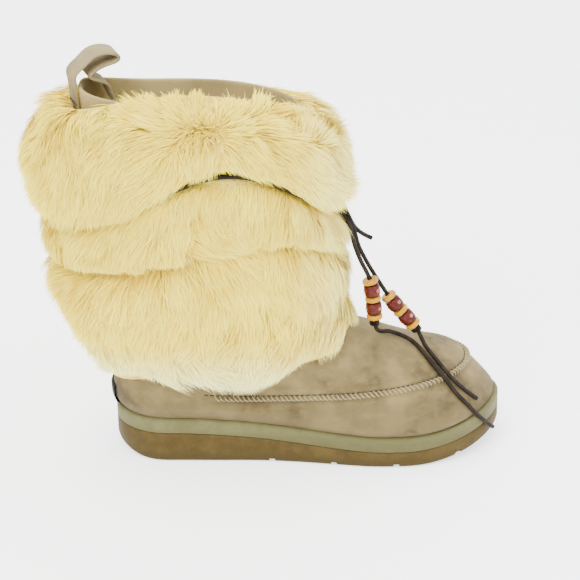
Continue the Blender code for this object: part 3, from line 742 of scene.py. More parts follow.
@dataclass(frozen=True)
class BootForm:
    """The boot's sizes, and its surfaces as functions of them."""

    sole_length: float = 0.268
    ball_width: float = 0.098
    heel_thickness: float = 0.0217
    forefoot_thickness: float = 0.0114
    toe_spring: float = 0.0115
    heel_lift: float = 0.007
    heel_round: float = 0.038
    toe_round: float = 0.068
    band_height: float = 0.0102
    feather_inset: float = 0.0032
    bulge_inset: float = 0.0010
    toe_lean: float = 0.0045
    heel_swell: float = 0.0020
    foot_height: float = 0.0665
    upper_height: float = 0.232
    shaft_width: float = 0.068
    wall: float = 0.0025
    gap: float = 0.0003
    oval_power: float = 2.2
    collar_power: float = 3.2
    plan: tuple = (
        # share from the heel, half width, swing to the inner side
        (0.00, 0.367, 0.000), (0.15, 0.365, -0.003), (0.27, 0.368, -0.012), (0.37, 0.363, -0.026),
        (0.47, 0.388, -0.031), (0.58, 0.444, -0.026), (0.67, 0.490, -0.015), (0.75, 0.500, -0.005),
        (0.85, 0.500, 0.014), (0.94, 0.500, 0.044), (1.00, 0.500, 0.071),
    )
    foot_rings: tuple = (
        # back, front, outer, inner, outline, heel, third, two thirds, toe
        (-0.503, 0.418, 0.438, 0.443, 0.95, 0.450, 0.250, 0.450, 0.455),
        (-0.500, 0.373, 0.405, 0.412, 0.70, 0.510, 0.375, 0.535, 0.630),
        (-0.495, 0.291, 0.378, 0.383, 0.40, 0.570, 0.475, 0.632, 0.755),
        (-0.490, 0.196, 0.362, 0.365, 0.15, 0.662, 0.602, 0.767, 0.900),
        (-0.486, 0.123, 0.354, 0.356, 0.00, 0.800, 0.790, 0.925, 1.000),
    )
    shaft_rings: tuple = (
        # back, front, outer, inner, heel, third, two thirds, toe
        (-0.482, 0.075, 0.500, 0.500, 0.293, 0.308, 0.355, 0.392),
        (-0.485, 0.041, 0.470, 0.470, 0.457, 0.481, 0.515, 0.545),
        (-0.515, 0.015, 0.440, 0.440, 0.664, 0.683, 0.700, 0.720),
        (-0.540, 0.006, 0.410, 0.410, 0.845, 0.835, 0.842, 0.850),
        (-0.552, 0.000, 0.385, 0.385, 1.000, 0.972, 0.972, 0.940),
    )

    def heel_distance(self, x: np.ndarray) -> np.ndarray:
        """How far x lies from the back of the sole."""
        return np.clip(np.asarray(x, float) + self.sole_length / 2, 0.0, self.sole_length)

    def sole_bottom(self, x: np.ndarray) -> np.ndarray:
        """Underside of the outsole: flat, lifted at the toe and at the very back.

        Args:
            x: Places along the boot.

        Returns:
            Its heights.
        """
        d = self.heel_distance(x)
        toe_start = 0.746 * self.sole_length
        heel_end = 0.104 * self.sole_length
        toe = np.clip((d - toe_start) / (self.sole_length - toe_start), 0.0, 1.0) ** 2
        return self.toe_spring * toe + self.heel_lift * np.clip((heel_end - d) / heel_end, 0.0, 1.0) ** 2

    def sole_top(self, x: np.ndarray) -> np.ndarray:
        """Joint of outsole and midsole: a low wedge that rises with the toe.

        Args:
            x: Places along the boot.

        Returns:
            Its heights.
        """
        d = self.heel_distance(x)
        toe_start = 0.728 * self.sole_length
        wedge = smooth_share(0.149 * self.sole_length, 0.709 * self.sole_length, d)
        height = self.heel_thickness + (self.forefoot_thickness - self.heel_thickness) * wedge
        toe = np.clip((d - toe_start) / (self.sole_length - toe_start), 0.0, 1.0) ** 2
        return height + self.toe_spring * toe

    def midsole_top(self, x: np.ndarray) -> np.ndarray:
        """Top of the midsole, which every height of the upper is measured from."""
        return self.sole_top(x) + self.gap + self.band_height

    def stations(self, heel_steps: int, middle_steps: int, toe_steps: int,
                 extra: Sequence[float] = ()) -> np.ndarray:
        """Shares of the length for one side of a ring, close together round heel and toe.

        Args:
            heel_steps: Steps round the heel.
            middle_steps: Steps between heel and toe.
            toe_steps: Steps round the toe.
            extra: More shares to put in.

        Returns:
            The shares, rising.
        """
        heel = self.heel_round / self.sole_length
        toe = self.toe_round / self.sole_length
        quarter = 0.5 * math.pi
        shares = [heel * (1 - math.cos(quarter * k / heel_steps)) for k in range(heel_steps)]
        shares += [heel + (1 - toe - heel) * k / middle_steps for k in range(middle_steps)]
        shares += [1 - toe * (1 - math.sin(quarter * k / toe_steps)) for k in range(toe_steps + 1)]
        return np.array(sorted([*shares, *extra]))

    def profile(self, share: np.ndarray) -> np.ndarray:
        """Half width of the sole as a share of the ball width, rounded off at heel and toe.

        Args:
            share: Shares of the sole's length.

        Returns:
            The half widths.
        """
        table = np.array(self.plan)
        heel = np.clip(1 - share * self.sole_length / self.heel_round, 0.0, 1.0)
        toe = np.clip(1 - (1 - share) * self.sole_length / self.toe_round, 0.0, 1.0)
        half = smooth_table(share, table[:, 0], table[:, 1])
        return half * np.sqrt(1 - heel ** 2) * np.sqrt(1 - toe ** 2)

    def swing(self, share: np.ndarray) -> np.ndarray:
        """How far the middle line lies towards the inner side, as a share of the ball width."""
        table = np.array(self.plan)
        return smooth_table(share, table[:, 0], table[:, 2])

    def both_sides(self, shares: np.ndarray) -> tuple[np.ndarray, np.ndarray]:
        """Shares and sides round a ring: toe, inner side, heel, outer side.

        Args:
            shares: Stations along one side.

        Returns:
            The shares and the sides, one each for every place round the ring.
        """
        inward, outward = shares[::-1], shares[1:-1]
        sides = [Side.INNER.value] * len(inward) + [Side.OUTER.value] * len(outward)
        return np.concatenate((inward, outward)), np.array(sides)

    def sole_ring(self, shares: np.ndarray, inset: float) -> np.ndarray:
        """The sole's outline in plan, moved in by inset.

        Args:
            shares: Stations along one side.
            inset: How far it moves in.

        Returns:
            The ring's points in plan.
        """
        share, side = self.both_sides(shares)
        x = (share - 0.5) * self.sole_length
        y = self.ball_width * (self.swing(share) + side * self.profile(share))
        ring = np.stack((x, y), axis=1)
        return ring - ring_normals(ring) * inset

    def foot_ring(self, row: tuple, share: np.ndarray, side: np.ndarray) -> np.ndarray:
        """One ring of the foot from its row of the table.

        Args:
            row: The table's row.
            share: Shares of the ring's length.
            side: 1 on the inner side, -1 on the outer.

        Returns:
            The ring's points.
        """
        back, front, outer, inner, outline, *heights = row
        x = self.sole_length * (back + (front - back) * share)
        oval = (1 - np.abs(2 * share - 1) ** self.oval_power) ** (1 / self.oval_power)
        profile = outline * 2 * self.profile(share) + (1 - outline) * oval
        half = np.where(side > 0, inner, outer) * profile
        y = self.ball_width * (side * half + outline * self.swing(share))
        return np.column_stack((x, y, self.midsole_top(x) + self.foot_height * along_four(heights, share)))

    def shaft_ring(self, row: tuple, share: np.ndarray, side: np.ndarray) -> np.ndarray:
        """One ring of the shaft from its row of the table.

        Args:
            row: The table's row.
            share: Shares of the ring's length.
            side: 1 on the inner side, -1 on the outer.

        Returns:
            The ring's points.
        """
        back, front, outer, inner, *heights = row
        x = self.sole_length * (back + (front - back) * share)
        power = self.oval_power + (self.collar_power - self.oval_power) * heights[0] ** 2
        oval = (1 - np.abs(2 * share - 1) ** power) ** (1 / power)
        y = self.shaft_width * side * np.where(side > 0, inner, outer) * oval
        return np.column_stack((x, y, self.midsole_top(x) + self.upper_height * along_four(heights, share)))

    def rings(self, shares: np.ndarray) -> list[np.ndarray]:
        """The upper's rings, from the feather line to the collar.

        Args:
            shares: Stations along one side.

        Returns:
            The rings.
        """
        share, side = self.both_sides(shares)
        feather = self.sole_ring(shares, self.feather_inset)
        lean = self.toe_lean * smooth_share(0.86, 1.0, share)
        lean = lean - self.heel_swell * (1 - smooth_share(0.0, 0.12, share))
        bulge = feather + ring_normals(feather) * (self.feather_inset - self.bulge_inset - lean)[:, None]
        rings = [
            np.column_stack((feather, self.midsole_top(feather[:, 0]) + self.gap)),
            np.column_stack((bulge, self.midsole_top(bulge[:, 0]) + 0.12 * self.foot_height)),
        ]
        rings += [self.foot_ring(row, share, side) for row in self.foot_rings]
        rings += [self.shaft_ring(row, share, side) for row in self.shaft_rings]
        return rings

    def surface(self, shares: np.ndarray, steps: Sequence[int],
                seam_ease: float = 1.0) -> tuple[np.ndarray, int]:
        """The upper's outer surface as a fine grid.

        Args:
            shares: Stations along one side.
            steps: Rows between neighbouring rings.
            seam_ease: Above 1, rows gather near the moc seam.

        Returns:
            The grid, ring by ring, and the row of the moc seam.
        """
        rings = self.rings(shares)
        rows, seam = [], 0
        for index, count in enumerate(steps):
            if index == 2:
                seam = len(rows)
            for k in range(count):
                t = k / count
                if index == 1:
                    t = 1 - (1 - t) ** seam_ease
                if index == 2:
                    t = t ** seam_ease
                rows.append(smooth_between(rings, index, t))
        rows.append(rings[-1])
        return np.array(rows), seam


FORM = BootForm()
COARSE_STATIONS = (14, 36, 18)
COARSE_STEPS = (1, *([2] * 10))


# The sole


@dataclass
class Sole:
    """The gum outsole, the pale band and the insole."""

    edge: float = 0.0022
    rim: float = 0.0024
    groove_width: float = 0.0035
    groove_depth: float = 0.0020
    groove_pitch: float = 0.0427
    groove_first: float = -0.0255
    groove_count: int = 4
    groove_lip: float = 0.0004
    insole_thickness: float = 0.005
    stations: tuple[int, int, int] = (18, 60, 34)

    def slab(self, name: str, rows: Sequence[np.ndarray], material: bpy.types.Material) -> bpy.types.Object:
        """A closed slab from rings, bottom to top, with strips across both ends.

        Args:
            name: The piece's name.
            rows: Rings of points.
            material: What it is made of.

        Returns:
            The object.
        """
        grid = np.array(rows)
        levels, count, _ = grid.shape
        half = count // 2
        side = grid_faces(levels, count)
        k = np.arange(half)
        strips = []
        for first, upward in ((0, False), ((levels - 1) * count, True)):
            strip = np.stack((k, k + 1, (count - k - 1) % count, (count - k) % count), axis=1)
            strips.append(first + (strip if upward else strip[:, ::-1]))
        faces = np.concatenate((side, *strips))
        piece = mesh_piece(name, grid.reshape(-1, 3), faces, material)
        piece.data.set_sharp_from_angle(angle=math.radians(50))
        return piece

    def build_outsole(self) -> bpy.types.Object:
        """The outsole with a rounded lower edge, a faint step at its side and the grooves.

        Returns:
            The piece.
        """
        grooves = [self.groove_first + self.groove_pitch * k for k in range(self.groove_count)]
        half, lip = 0.5 * self.groove_width, self.groove_lip
        edges = (-half - lip, -half, half, half + lip)
        extra = [(x + edge) / FORM.sole_length + 0.5 for x in grooves for edge in edges]
        shares = FORM.stations(*self.stations, extra)
        rows = []
        for inset, above in ((self.edge, 0.0), (0.55 * self.edge, 0.22), (0.2 * self.edge, 0.6), (0.0, 1.2)):
            ring = FORM.sole_ring(shares, inset)
            height = FORM.sole_bottom(ring[:, 0]) + above * self.edge
            for x in grooves:
                near = 1 - smooth_share(half, half + lip, np.abs(ring[:, 0] - x))
                roof = FORM.sole_bottom(np.array(x)) + self.groove_depth * 1.3
                height = np.maximum(height, near * roof)
            rows.append(np.column_stack((ring, height)))
        for inset, below in ((0.0, 0.0010), (0.0005, 0.0)):
            ring = FORM.sole_ring(shares, inset)
            rows.append(np.column_stack((ring, FORM.sole_top(ring[:, 0]) - below)))
        piece = self.slab("gum_outsole", rows, GUM_RUBBER.material())
        return held(piece, "gum", "outsole")

    def build_band(self) -> bpy.types.Object:
        """The pale band, rounded over at its rim.

        Returns:
            The piece.
        """
        shares = FORM.stations(*self.stations)
        low = FORM.gap
        rows = []
        for inset, share in ((0.0005, 0.0), (0.0, 0.05), (0.0, 0.55)):
            ring = FORM.sole_ring(shares, inset)
            rows.append(np.column_stack((ring, FORM.sole_top(ring[:, 0]) + low + share * FORM.band_height)))
        for k in range(7):
            angle = 0.5 * math.pi * k / 6
            ring = FORM.sole_ring(shares, self.rim * (1 - math.cos(angle)))
            top = FORM.sole_top(ring[:, 0]) + low + FORM.band_height - self.rim * (1 - math.sin(angle))
            rows.append(np.column_stack((ring, top)))
        ring = FORM.sole_ring(shares, FORM.feather_inset + 0.003)
        rows.append(np.column_stack((ring, FORM.midsole_top(ring[:, 0]))))
        piece = self.slab("pale_band", rows, BAND_RUBBER.material())
        return held(piece, "pale_band", "midsole")

    def build_insole(self) -> bpy.types.Object:
        """The wool-covered insole with a low crown at its edge.

        Returns:
            The piece.
        """
        inset = FORM.feather_inset + FORM.wall + 0.0006 + 0.6 * FORM.toe_lean
        shares = FORM.stations(12, 36, 20)
        rows = []
        for more, share in ((0.0, 0.0), (0.0, 0.7), (0.001, 0.95), (0.003, 1.0), (0.010, 0.92)):
            ring = FORM.sole_ring(shares, inset + more)
            height = FORM.midsole_top(ring[:, 0]) + FORM.gap + share * self.insole_thickness
            rows.append(np.column_stack((ring, height)))
        piece = self.slab("wool_insole", rows, LINING_FLEECE.material())
        return held(piece, "wool", "insole")

    def build(self) -> None:
        """Makes the sole's pieces."""
        self.build_outsole()
        self.build_band()
        self.build_insole()


# The upper


@dataclass(frozen=True)
class Crease:
    """A soft trough in the suede: its middle, direction, half length, half width and depth, in mm."""

    middle: tuple[float, float, float]
    towards: tuple[float, float, float]
    half_length: float
    half_width: float
    depth: float

    def push(self, points: np.ndarray) -> np.ndarray:
        """How far each point moves out, with a low ridge each side of the trough.

        Args:
            points: Points on the suede.

        Returns:
            One distance a point.
        """
        offset = points / MM - np.array(self.middle)
        direction = unit(np.array(self.towards, float))
        along = offset @ direction
        across = np.linalg.norm(offset - along[..., None] * direction, axis=-1)
        length = np.exp(-((along / self.half_length) ** 2))
        trough = np.exp(-((across / self.half_width) ** 2))
        ridge = np.exp(-(((across - 1.9 * self.half_width) / self.half_width) ** 2))
        return self.depth * MM * length * (0.35 * ridge - trough)


CREASES = (
    Crease((62, -34, 62), (1.0, -0.3, -0.5), 13, 3.0, 1.1),
    Crease((48, -38, 56), (1.0, 0.0, -0.35), 14, 3.4, 1.0),
    Crease((36, -35, 70), (0.8, 0.3, -0.7), 12, 3.2, 1.0),
    Crease((80, -30, 58), (0.5, -0.6, -0.4), 9, 2.8, 0.8),
    Crease((55, 34, 62), (1.0, 0.3, -0.5), 14, 3.2, 1.1),
    Crease((42, 38, 56), (1.0, 0.0, -0.35), 14, 3.4, 1.0),
    Crease((72, 30, 60), (0.6, 0.6, -0.4), 9, 3.0, 0.8),
    Crease((10, -38, 50), (1.0, 0.0, 0.25), 16, 4.0, 1.2),
    Crease((-30, -37, 44), (1.0, 0.0, 0.15), 18, 3.6, 0.9),
    Crease((-20, 37, 46), (1.0, 0.0, 0.2), 18, 3.8, 1.0),
    Crease((-75, -36, 50), (1.0, 0.0, -0.3), 12, 3.2, 0.9),
    Crease((-80, 36, 52), (1.0, 0.0, -0.2), 12, 3.4, 0.9),
    Crease((30, -47, 36), (1.0, 0.0, 0.05), 24, 2.6, 0.7),
    Crease((84, -44, 38), (1.0, 0.25, 0.1), 18, 2.6, 0.7),
    Crease((96, 0, 66), (0.0, 1.0, 0.0), 14, 4.2, 0.9),
    Crease((70, 4, 78), (0.1, 1.0, 0.0), 16, 4.0, 0.9),
    Crease((120, -18, 48), (0.3, 1.0, 0.0), 12, 3.0, 0.6),
)


SEAM_RELIEF = (
    # height, middle above the seam and half width of the grooves and the roll beside the ridge
    (-0.0007, 0.0026, 0.0009), (-0.0009, -0.0028, 0.0012), (0.0008, 0.0075, 0.0035),
)


class UpperSkin:
    """The suede's outer surface as a fine grid, with its distances from the moc seam."""

    def __init__(self, ridge: float, ridge_width: float) -> None:
        """Computes the surface with the ridge, the stitch groove and the creases.

        Args:
            ridge: Height of the moc seam's ridge.
            ridge_width: Half of its width.
        """
        shares = FORM.stations(34, 96, 60)
        self.rows, self.seam = FORM.surface(shares, (5, 18, 18, 12, 10, 8, 6, 6, 6, 6, 6), 1.7)
        self.share, self.side = FORM.both_sides(shares)
        self.above = self.measure()
        normals = grid_normals(self.rows)
        ends = smooth_share(0.25, 0.33, self.share)[None, :]
        line = self.rows[self.seam]
        walked = np.cumsum(np.linalg.norm(np.diff(line, axis=0, append=line[:1]), axis=1))
        ripple = 1 + 0.12 * np.sin(walked / 0.0034 * 2 * math.pi)
        push = ridge * ripple[None, :] * np.exp(-((self.above / ridge_width) ** 2)) * ends
        for height, middle, width in SEAM_RELIEF:
            push += height * np.exp(-(((self.above - middle) / width) ** 2)) * ends
        for crease in CREASES:
            push += crease.push(self.rows)
        self.rows = self.rows + normals * push[:, :, None]
        self.normals = grid_normals(self.rows)

    def measure(self) -> np.ndarray:
        """How far up its column each point lies from the moc seam, in metres.

        Returns:
            One distance a point.
        """
        steps = np.linalg.norm(np.diff(self.rows, axis=0), axis=2)
        length = np.concatenate((np.zeros((1, steps.shape[1])), np.cumsum(steps, axis=0)))
        return length - length[self.seam]

    def at(self, column: np.ndarray, above: np.ndarray) -> tuple[np.ndarray, np.ndarray]:
        """Points and outward directions on the suede.

        Args:
            column: Places round the boot, as columns of the grid and parts of one.
            above: Distances up from the moc seam.

        Returns:
            The points and their directions.
        """
        count = self.rows.shape[1]
        low = np.floor(column).astype(int)
        part = (column - low)[:, None]
        found = []
        for grid in (self.rows, self.normals):
            ends = []
            for c in (low % count, (low + 1) % count):
                ends.append(on_columns(self.above, grid, above, c))
            found.append(ends[0] * (1 - part) + ends[1] * part)
        return found[0], unit(found[1])

    def columns_every(self, pitch: float, from_share: float) -> np.ndarray:
        """Places along the moc seam at equal steps, from the outer side round the toe to the inner.

        Args:
            pitch: The step, in metres.
            from_share: How far along the boot the places start.

        Returns:
            The places, as columns of the grid and parts of one.
        """
        ring = self.rows[self.seam]
        count = len(ring)
        heel = int(np.argmin(self.share))
        order = np.concatenate((np.arange(heel, count), np.arange(0, heel + 1)))
        order = order[self.share[order] > from_share]
        line = ring[order]
        length = distances(line)
        wanted = np.arange(0.0, length[-1], pitch)
        unrolled = np.where(order >= heel, order, order + count).astype(float)
        return np.interp(wanted, length, unrolled)


@dataclass
class Upper:
    """The suede upper with its moc seam, its stitches, and the lining inside."""

    ridge: float = 0.0019
    ridge_width: float = 0.0012
    facing: float = 0.030
    whip_pitch: float = 0.0033
    whip_radius: float = 0.00042
    row_pitch: float = 0.0040
    whip_reach: float = 0.0022
    row_above: float = 0.0025
    row_share: float = 0.68
    seam_from: float = 0.29
    lining_gap: float = 0.0007
    collar_step: float = 0.040 / 6

    def build_suede(self, skin: UpperSkin) -> bpy.types.Object:
        """The outer surface, over the collar's edge and down its facing.

        Args:
            skin: The suede's surface.

        Returns:
            The piece.
        """
        rows = skin.rows
        collar = rows[-1]
        out = np.column_stack((ring_normals(collar[:, :2]), np.zeros(len(collar))))
        over = []
        half = 0.5 * FORM.wall
        for k in range(1, 6):
            angle = math.pi * k / 5
            up = np.array((0, 0, half * math.sin(angle)))
            over.append(collar - out * half * (1 - math.cos(angle)) + up)
        inner = rows - grid_normals(rows) * FORM.wall
        for k in range(1, 9):
            index = self.facing * k / 8 / self.collar_step
            low = int(index)
            part = index - low
            over.append(inner[-1 - low] * (1 - part) + inner[-2 - low] * part)
        piece = grid_piece("suede_upper", np.concatenate((rows, np.array(over))), TAUPE_SUEDE.material())
        return held(piece, "suede", "upper")

    def build_lining(self) -> bpy.types.Object:
        """The wool lining, from the insole up to the facing.

        Returns:
            The piece.
        """
        shares = FORM.stations(14, 40, 20)
        rows, _ = FORM.surface(shares, (2, 4, 4, 4, 4, 4, 5, 5, 5, 5, 5))
        inner = rows - grid_normals(rows) * (FORM.wall + self.lining_gap)
        top = FORM.midsole_top(rows[:, :, 0]) + FORM.upper_height - self.facing
        keep = rows[:, :, 2].max(axis=1) < top.max(axis=1) + 0.012
        piece = grid_piece("wool_lining", inner[keep][:, ::-1], LINING_FLEECE.material())
        return held(piece, "wool")

    def build_whip(self, skin: UpperSkin) -> bpy.types.Object:
        """The pale thread whipped over the ridge.

        Args:
            skin: The suede's surface.

        Returns:
            The piece.
        """
        columns = skin.columns_every(self.whip_pitch, self.seam_from)
        steps = 9
        lines = []
        for k in range(steps):
            t = k / (steps - 1)
            above = self.whip_reach - 2 * self.whip_reach * t
            lift = self.whip_radius * (0.7 if 0 < k < steps - 1 else -0.8)
            slant = 0.9 * (t - 0.5)
            points, normals = skin.at(columns + slant, np.full(len(columns), above))
            lines.append(points + normals * lift)
        material = PALE_THREAD.material()
        piece = tubes_piece("whip_stitches", np.stack(lines, axis=1), self.whip_radius, 6, material)
        return held(piece, "suede")

    def build_row(self, skin: UpperSkin) -> bpy.types.Object:
        """The row of straight dark stitches above the moc seam.

        Args:
            skin: The suede's surface.

        Returns:
            The piece.
        """
        columns = skin.columns_every(self.row_pitch, self.seam_from - 0.03)
        starts, ends = columns[:-1], columns[:-1] + np.diff(columns) * self.row_share
        lines = []
        for k, lift in enumerate((-0.9, 0.2, 0.5, 0.5, 0.2, -0.9)):
            t = k / 5
            points, normals = skin.at(starts + (ends - starts) * t, np.full(len(starts), self.row_above))
            lines.append(points + normals * self.whip_radius * lift)
        material = DARK_THREAD.material()
        piece = tubes_piece("seam_stitches", np.stack(lines, axis=1), self.whip_radius, 6, material)
        return held(piece, "suede")

    def build(self) -> UpperSkin:
        """Makes the upper's pieces.

        Returns:
            The suede's surface, for what is sewn on it.
        """
        skin = UpperSkin(self.ridge, self.ridge_width)
        self.build_suede(skin)
        self.build_lining()
        self.build_whip(skin)
        self.build_row(skin)
        return skin


# The fur


ROUND_POWER = 2.5


def round_reach(along: np.ndarray, back: float, side: float, front: float) -> np.ndarray:
    """A value round the boot from those at its back, its sides and its front.

    Args:
        along: -1 at the back to 1 at the front.
        back: The value at the back.
        side: The value at both sides.
        front: The value at the front.

    Returns:
        The values between.
    """
    return side + (np.where(along < 0, back, front) - side) * np.abs(along) ** ROUND_POWER


@dataclass(frozen=True)
class FurBand:
    """One band of fur.

    Its lines round the shaft are shares of the upper's height at four places from back to front, its section
    goes from its top to its bottom as rows of height and reach at the back, the sides and the front, and its
    hem says how far the hair ends below the lower line, by place along the boot.
    """

    name: str
    node: str
    top: tuple[float, float, float, float]
    bottom: tuple[float, float, float, float]
    section: tuple
    strands: int
    pieces: int
    length: float
    seed: int
    sweep: float
    hem: tuple
    sunk: float
    rises: bool = False
    drapes: bool = False


@dataclass
class FurCoat:
    """The three bands of long hair on their fleece."""

    depth: float = 0.042
    lock_size: float = 0.0100
    gather: float = 0.42
    width: float = 0.00062
    segments: int = 3
    past_top: float = -0.0005
    clearance: float = 0.0012
    drape_below: float = 0.105
    stand_share: float = 0.80
    inner_drop: float = 0.0070
    ragged: float = 0.0028
    least_rise: float = 0.002
    shortest: float = 0.22
    least_reach: float = 0.0008
    root_depth: float = 0.0006
    wall_gap: float = 0.0004
    lump_size: float = 0.011
    lump_depth: float = 0.0022
    swirl_size: float = 0.024
    parting_size: float = 0.020
    outer_side: tuple[float, float] = (-0.010, 0.026)
    before_heel: tuple[float, float] = (-0.135, -0.105)
    parting: tuple[float, float] = (0.16, 0.44)
    taper: tuple[float, float, float] = (0.8, 1.0, 0.7)
    bands: tuple = (
        FurBand("cuff", "fur_cuff", (0.949, 0.949, 0.956, 0.934), (0.660, 0.748, 0.816, 0.674), (
            (1.38, 0.30, 0.20, 0.12), (1.16, 0.48, 0.40, 0.28), (0.88, 0.66, 0.54, 0.44),
            (0.64, 0.97, 0.70, 0.60), (0.42, 1.06, 0.73, 0.67), (0.20, 1.02, 0.68, 0.64),
            (0.00, 0.81, 0.52, 0.30),
        ), strands=60000, pieces=2, length=0.023, seed=12, sweep=0.9, sunk=0.0055, rises=True, hem=(
            (-0.100, 0.0080), (-0.080, -0.0018),
        )),
        FurBand("middle", "fur_middle", (0.644, 0.732, 0.800, 0.658), (0.499, 0.552, 0.619, 0.546), (
            (1.00, 0.81, 0.52, 0.30), (0.74, 0.95, 0.62, 0.40), (0.36, 1.00, 0.67, 0.42),
            (0.00, 0.90, 0.57, 0.34),
        ), strands=36000, pieces=1, length=0.019, seed=23, sweep=0.5, sunk=0.0035, hem=(
            (-0.130, -0.0030), (-0.110, -0.0010), (-0.085, 0.0085), (-0.050, 0.0125), (-0.025, 0.0080),
            (0.0, 0.0020),
        )),
        FurBand("lower", "fur_lower", (0.493, 0.546, 0.613, 0.540), (0.082, 0.136, 0.1875, 0.287), (
            (1.00, 0.90, 0.57, 0.34), (0.88, 1.08, 0.62, 0.36), (0.66, 1.00, 0.62, 0.31),
            (0.45, 0.78, 0.52, 0.22), (0.25, 0.50, 0.36, 0.15), (0.06, 0.22, 0.24, 0.14),
        ), strands=64000, pieces=2, length=0.024, seed=37, sweep=0.45, sunk=0.0070, drapes=True, hem=(
            (-0.135, -0.0045), (-0.111, -0.0035), (-0.100, 0.0020), (-0.085, 0.0080), (-0.072, 0.0130),
            (-0.056, 0.0155), (-0.038, 0.0155), (-0.021, 0.0085), (-0.005, 0.0015), (0.008, 0.0),
        )),
    )

    def wall_at(self, rows: np.ndarray, heights: np.ndarray) -> np.ndarray:
        """Points on the upper at given heights above the midsole, one a column.

        Args:
            rows: The upper's surface.
            heights: A height for each column.

        Returns:
            One point a column.
        """
        above = rows[:, :, 2] - FORM.midsole_top(rows[:, :, 0])
        points = on_columns(above, rows, heights, range(rows.shape[1]))
        points[:, 2] = np.maximum(points[:, 2], FORM.midsole_top(points[:, 0]) + heights)
        return points

    def outline(self, band: FurBand, shares: np.ndarray, sunk: float, steps: int) -> np.ndarray:
        """The band's outer surface from top to bottom.

        Args:
            band: The band.
            shares: Stations along one side.
            sunk: How far under the hair's outline it lies.
            steps: Rows between neighbouring rows of the section.

        Returns:
            The grid, top row first.
        """
        rows, _ = FORM.surface(shares, COARSE_STEPS)
        share, sign = FORM.both_sides(shares)
        top = along_four(band.top, share) * FORM.upper_height
        bottom = along_four(band.bottom, share) * FORM.upper_height
        along = 2 * share - 1
        bow = 1 - np.abs(along) ** ROUND_POWER
        rings = []
        for height, back, side, front in band.section:
            stand = max(height - 1, 0.0) * self.depth * self.stand_share * np.where(sign < 0, bow, 0.0)
            if band.rises:
                drop = self.inner_drop * float(smooth_share(0.4, 1.0, np.array(height)))
                stand -= drop * np.where(sign > 0, bow, 0.0)
            points = self.wall_at(rows, bottom + (top - bottom) * min(height, 1.0) + stand)
            reach = round_reach(along, back, side, front)
            push = np.maximum(reach * self.depth - sunk, self.least_reach)
            points[:, :2] += ring_normals(points[:, :2]) * push[:, None]
            rings.append(points)
        fine = [smooth_between(rings, k, j / steps) for k in range(len(rings) - 1) for j in range(steps)]
        return np.array([*fine, rings[-1]])

    def build_fleece(self, band: FurBand) -> bpy.types.Object:
        """The short fleece that the band's hair grows from.

        Args:
            band: The band.

        Returns:
            The piece.
        """
        shares = FORM.stations(*COARSE_STATIONS)
        outer = self.outline(band, shares, band.sunk, 6)
        rows, _ = FORM.surface(shares, COARSE_STEPS)
        share, _ = FORM.both_sides(shares)
        random = np.random.default_rng(band.seed)
        lumps = self.lumps(outer, random, 60, self.lump_size)
        outer = outer + grid_normals(outer[::-1])[::-1] * (lumps * self.lump_depth)[:, :, None]
        top = along_four(band.top, share) * FORM.upper_height
        bottom = along_four(band.bottom, share) * FORM.upper_height
        last = band.section[-1][0]
        ends = []
        for height in (last, 0.5 * (1 + last), 0.8):
            ring = self.wall_at(rows, bottom + (top - bottom) * height)
            ring[:, :2] += ring_normals(ring[:, :2]) * self.wall_gap
            ends.append(ring)
        grid = np.concatenate((outer, np.array(ends)))[:, ::-1]
        piece = grid_piece(f"{band.name}_fleece", grid, UNDER_FLEECE.material(), True, True)
        return held(piece, "fur", band.node)

    def lumps(self, points: np.ndarray, random: np.random.Generator, count: int, size: float) -> np.ndarray:
        """Soft bumps round random places on a surface, from about -1 to 1.

        Args:
            points: Points on the surface.
            random: Where random numbers come from.
            count: How many bumps there are.
            size: How wide a bump is.

        Returns:
            One value a point.
        """
        flat = points.reshape(-1, 3)
        centres = flat[random.integers(0, len(flat), count)]
        signs = random.uniform(-1, 1, count)
        total = np.zeros(len(flat))
        for centre, sign in zip(centres, signs):
            total += sign * np.exp(-(((flat - centre) ** 2).sum(1)) / size ** 2)
        return np.clip(total, -1, 1).reshape(points.shape[:-1])

    def sample(self, grid: np.ndarray, u: np.ndarray, v: np.ndarray) -> np.ndarray:
        """Values of a grid between its points, with u round the boot and v down the band.

        Args:
            grid: The grid's values.
            u: Places round the boot, 0 to 1.
            v: Places down the band, 0 to 1.

        Returns:
            One row of values a place.
        """
        rows, columns = grid.shape[:2]
        x = u * columns
        y = np.clip(v, 0, 1) * (rows - 1)
        c = np.floor(x).astype(int)
        r = np.minimum(np.floor(y).astype(int), rows - 2)
        fx, fy = (x - c)[:, None], (y - r)[:, None]
        low = grid[r, c % columns] * (1 - fx) + grid[r, (c + 1) % columns] * fx
        high = grid[r + 1, c % columns] * (1 - fx) + grid[r + 1, (c + 1) % columns] * fx
        return low * (1 - fy) + high * fy

    def spread(self, grid: np.ndarray, count: int,
               random: np.random.Generator) -> tuple[np.ndarray, np.ndarray]:
        """Random places on a grid, even over its area.

        Args:
            grid: The surface's points.
            count: How many places to draw.
            random: Where random numbers come from.

        Returns:
            The places round the boot and those down the band.
        """
        across = np.linalg.norm(np.roll(grid, -1, axis=1) - grid, axis=2)[:-1]
        down = np.linalg.norm(np.diff(grid, axis=0), axis=2)
        area = (across * down).ravel()
        cell = random.choice(len(area), count, p=area / area.sum())
        rows, columns = grid.shape[0] - 1, grid.shape[1]
        u = (cell % columns + random.random(count)) / columns
        v = (cell // columns + random.random(count)) / rows
        return u, 0.01 + 0.95 * v

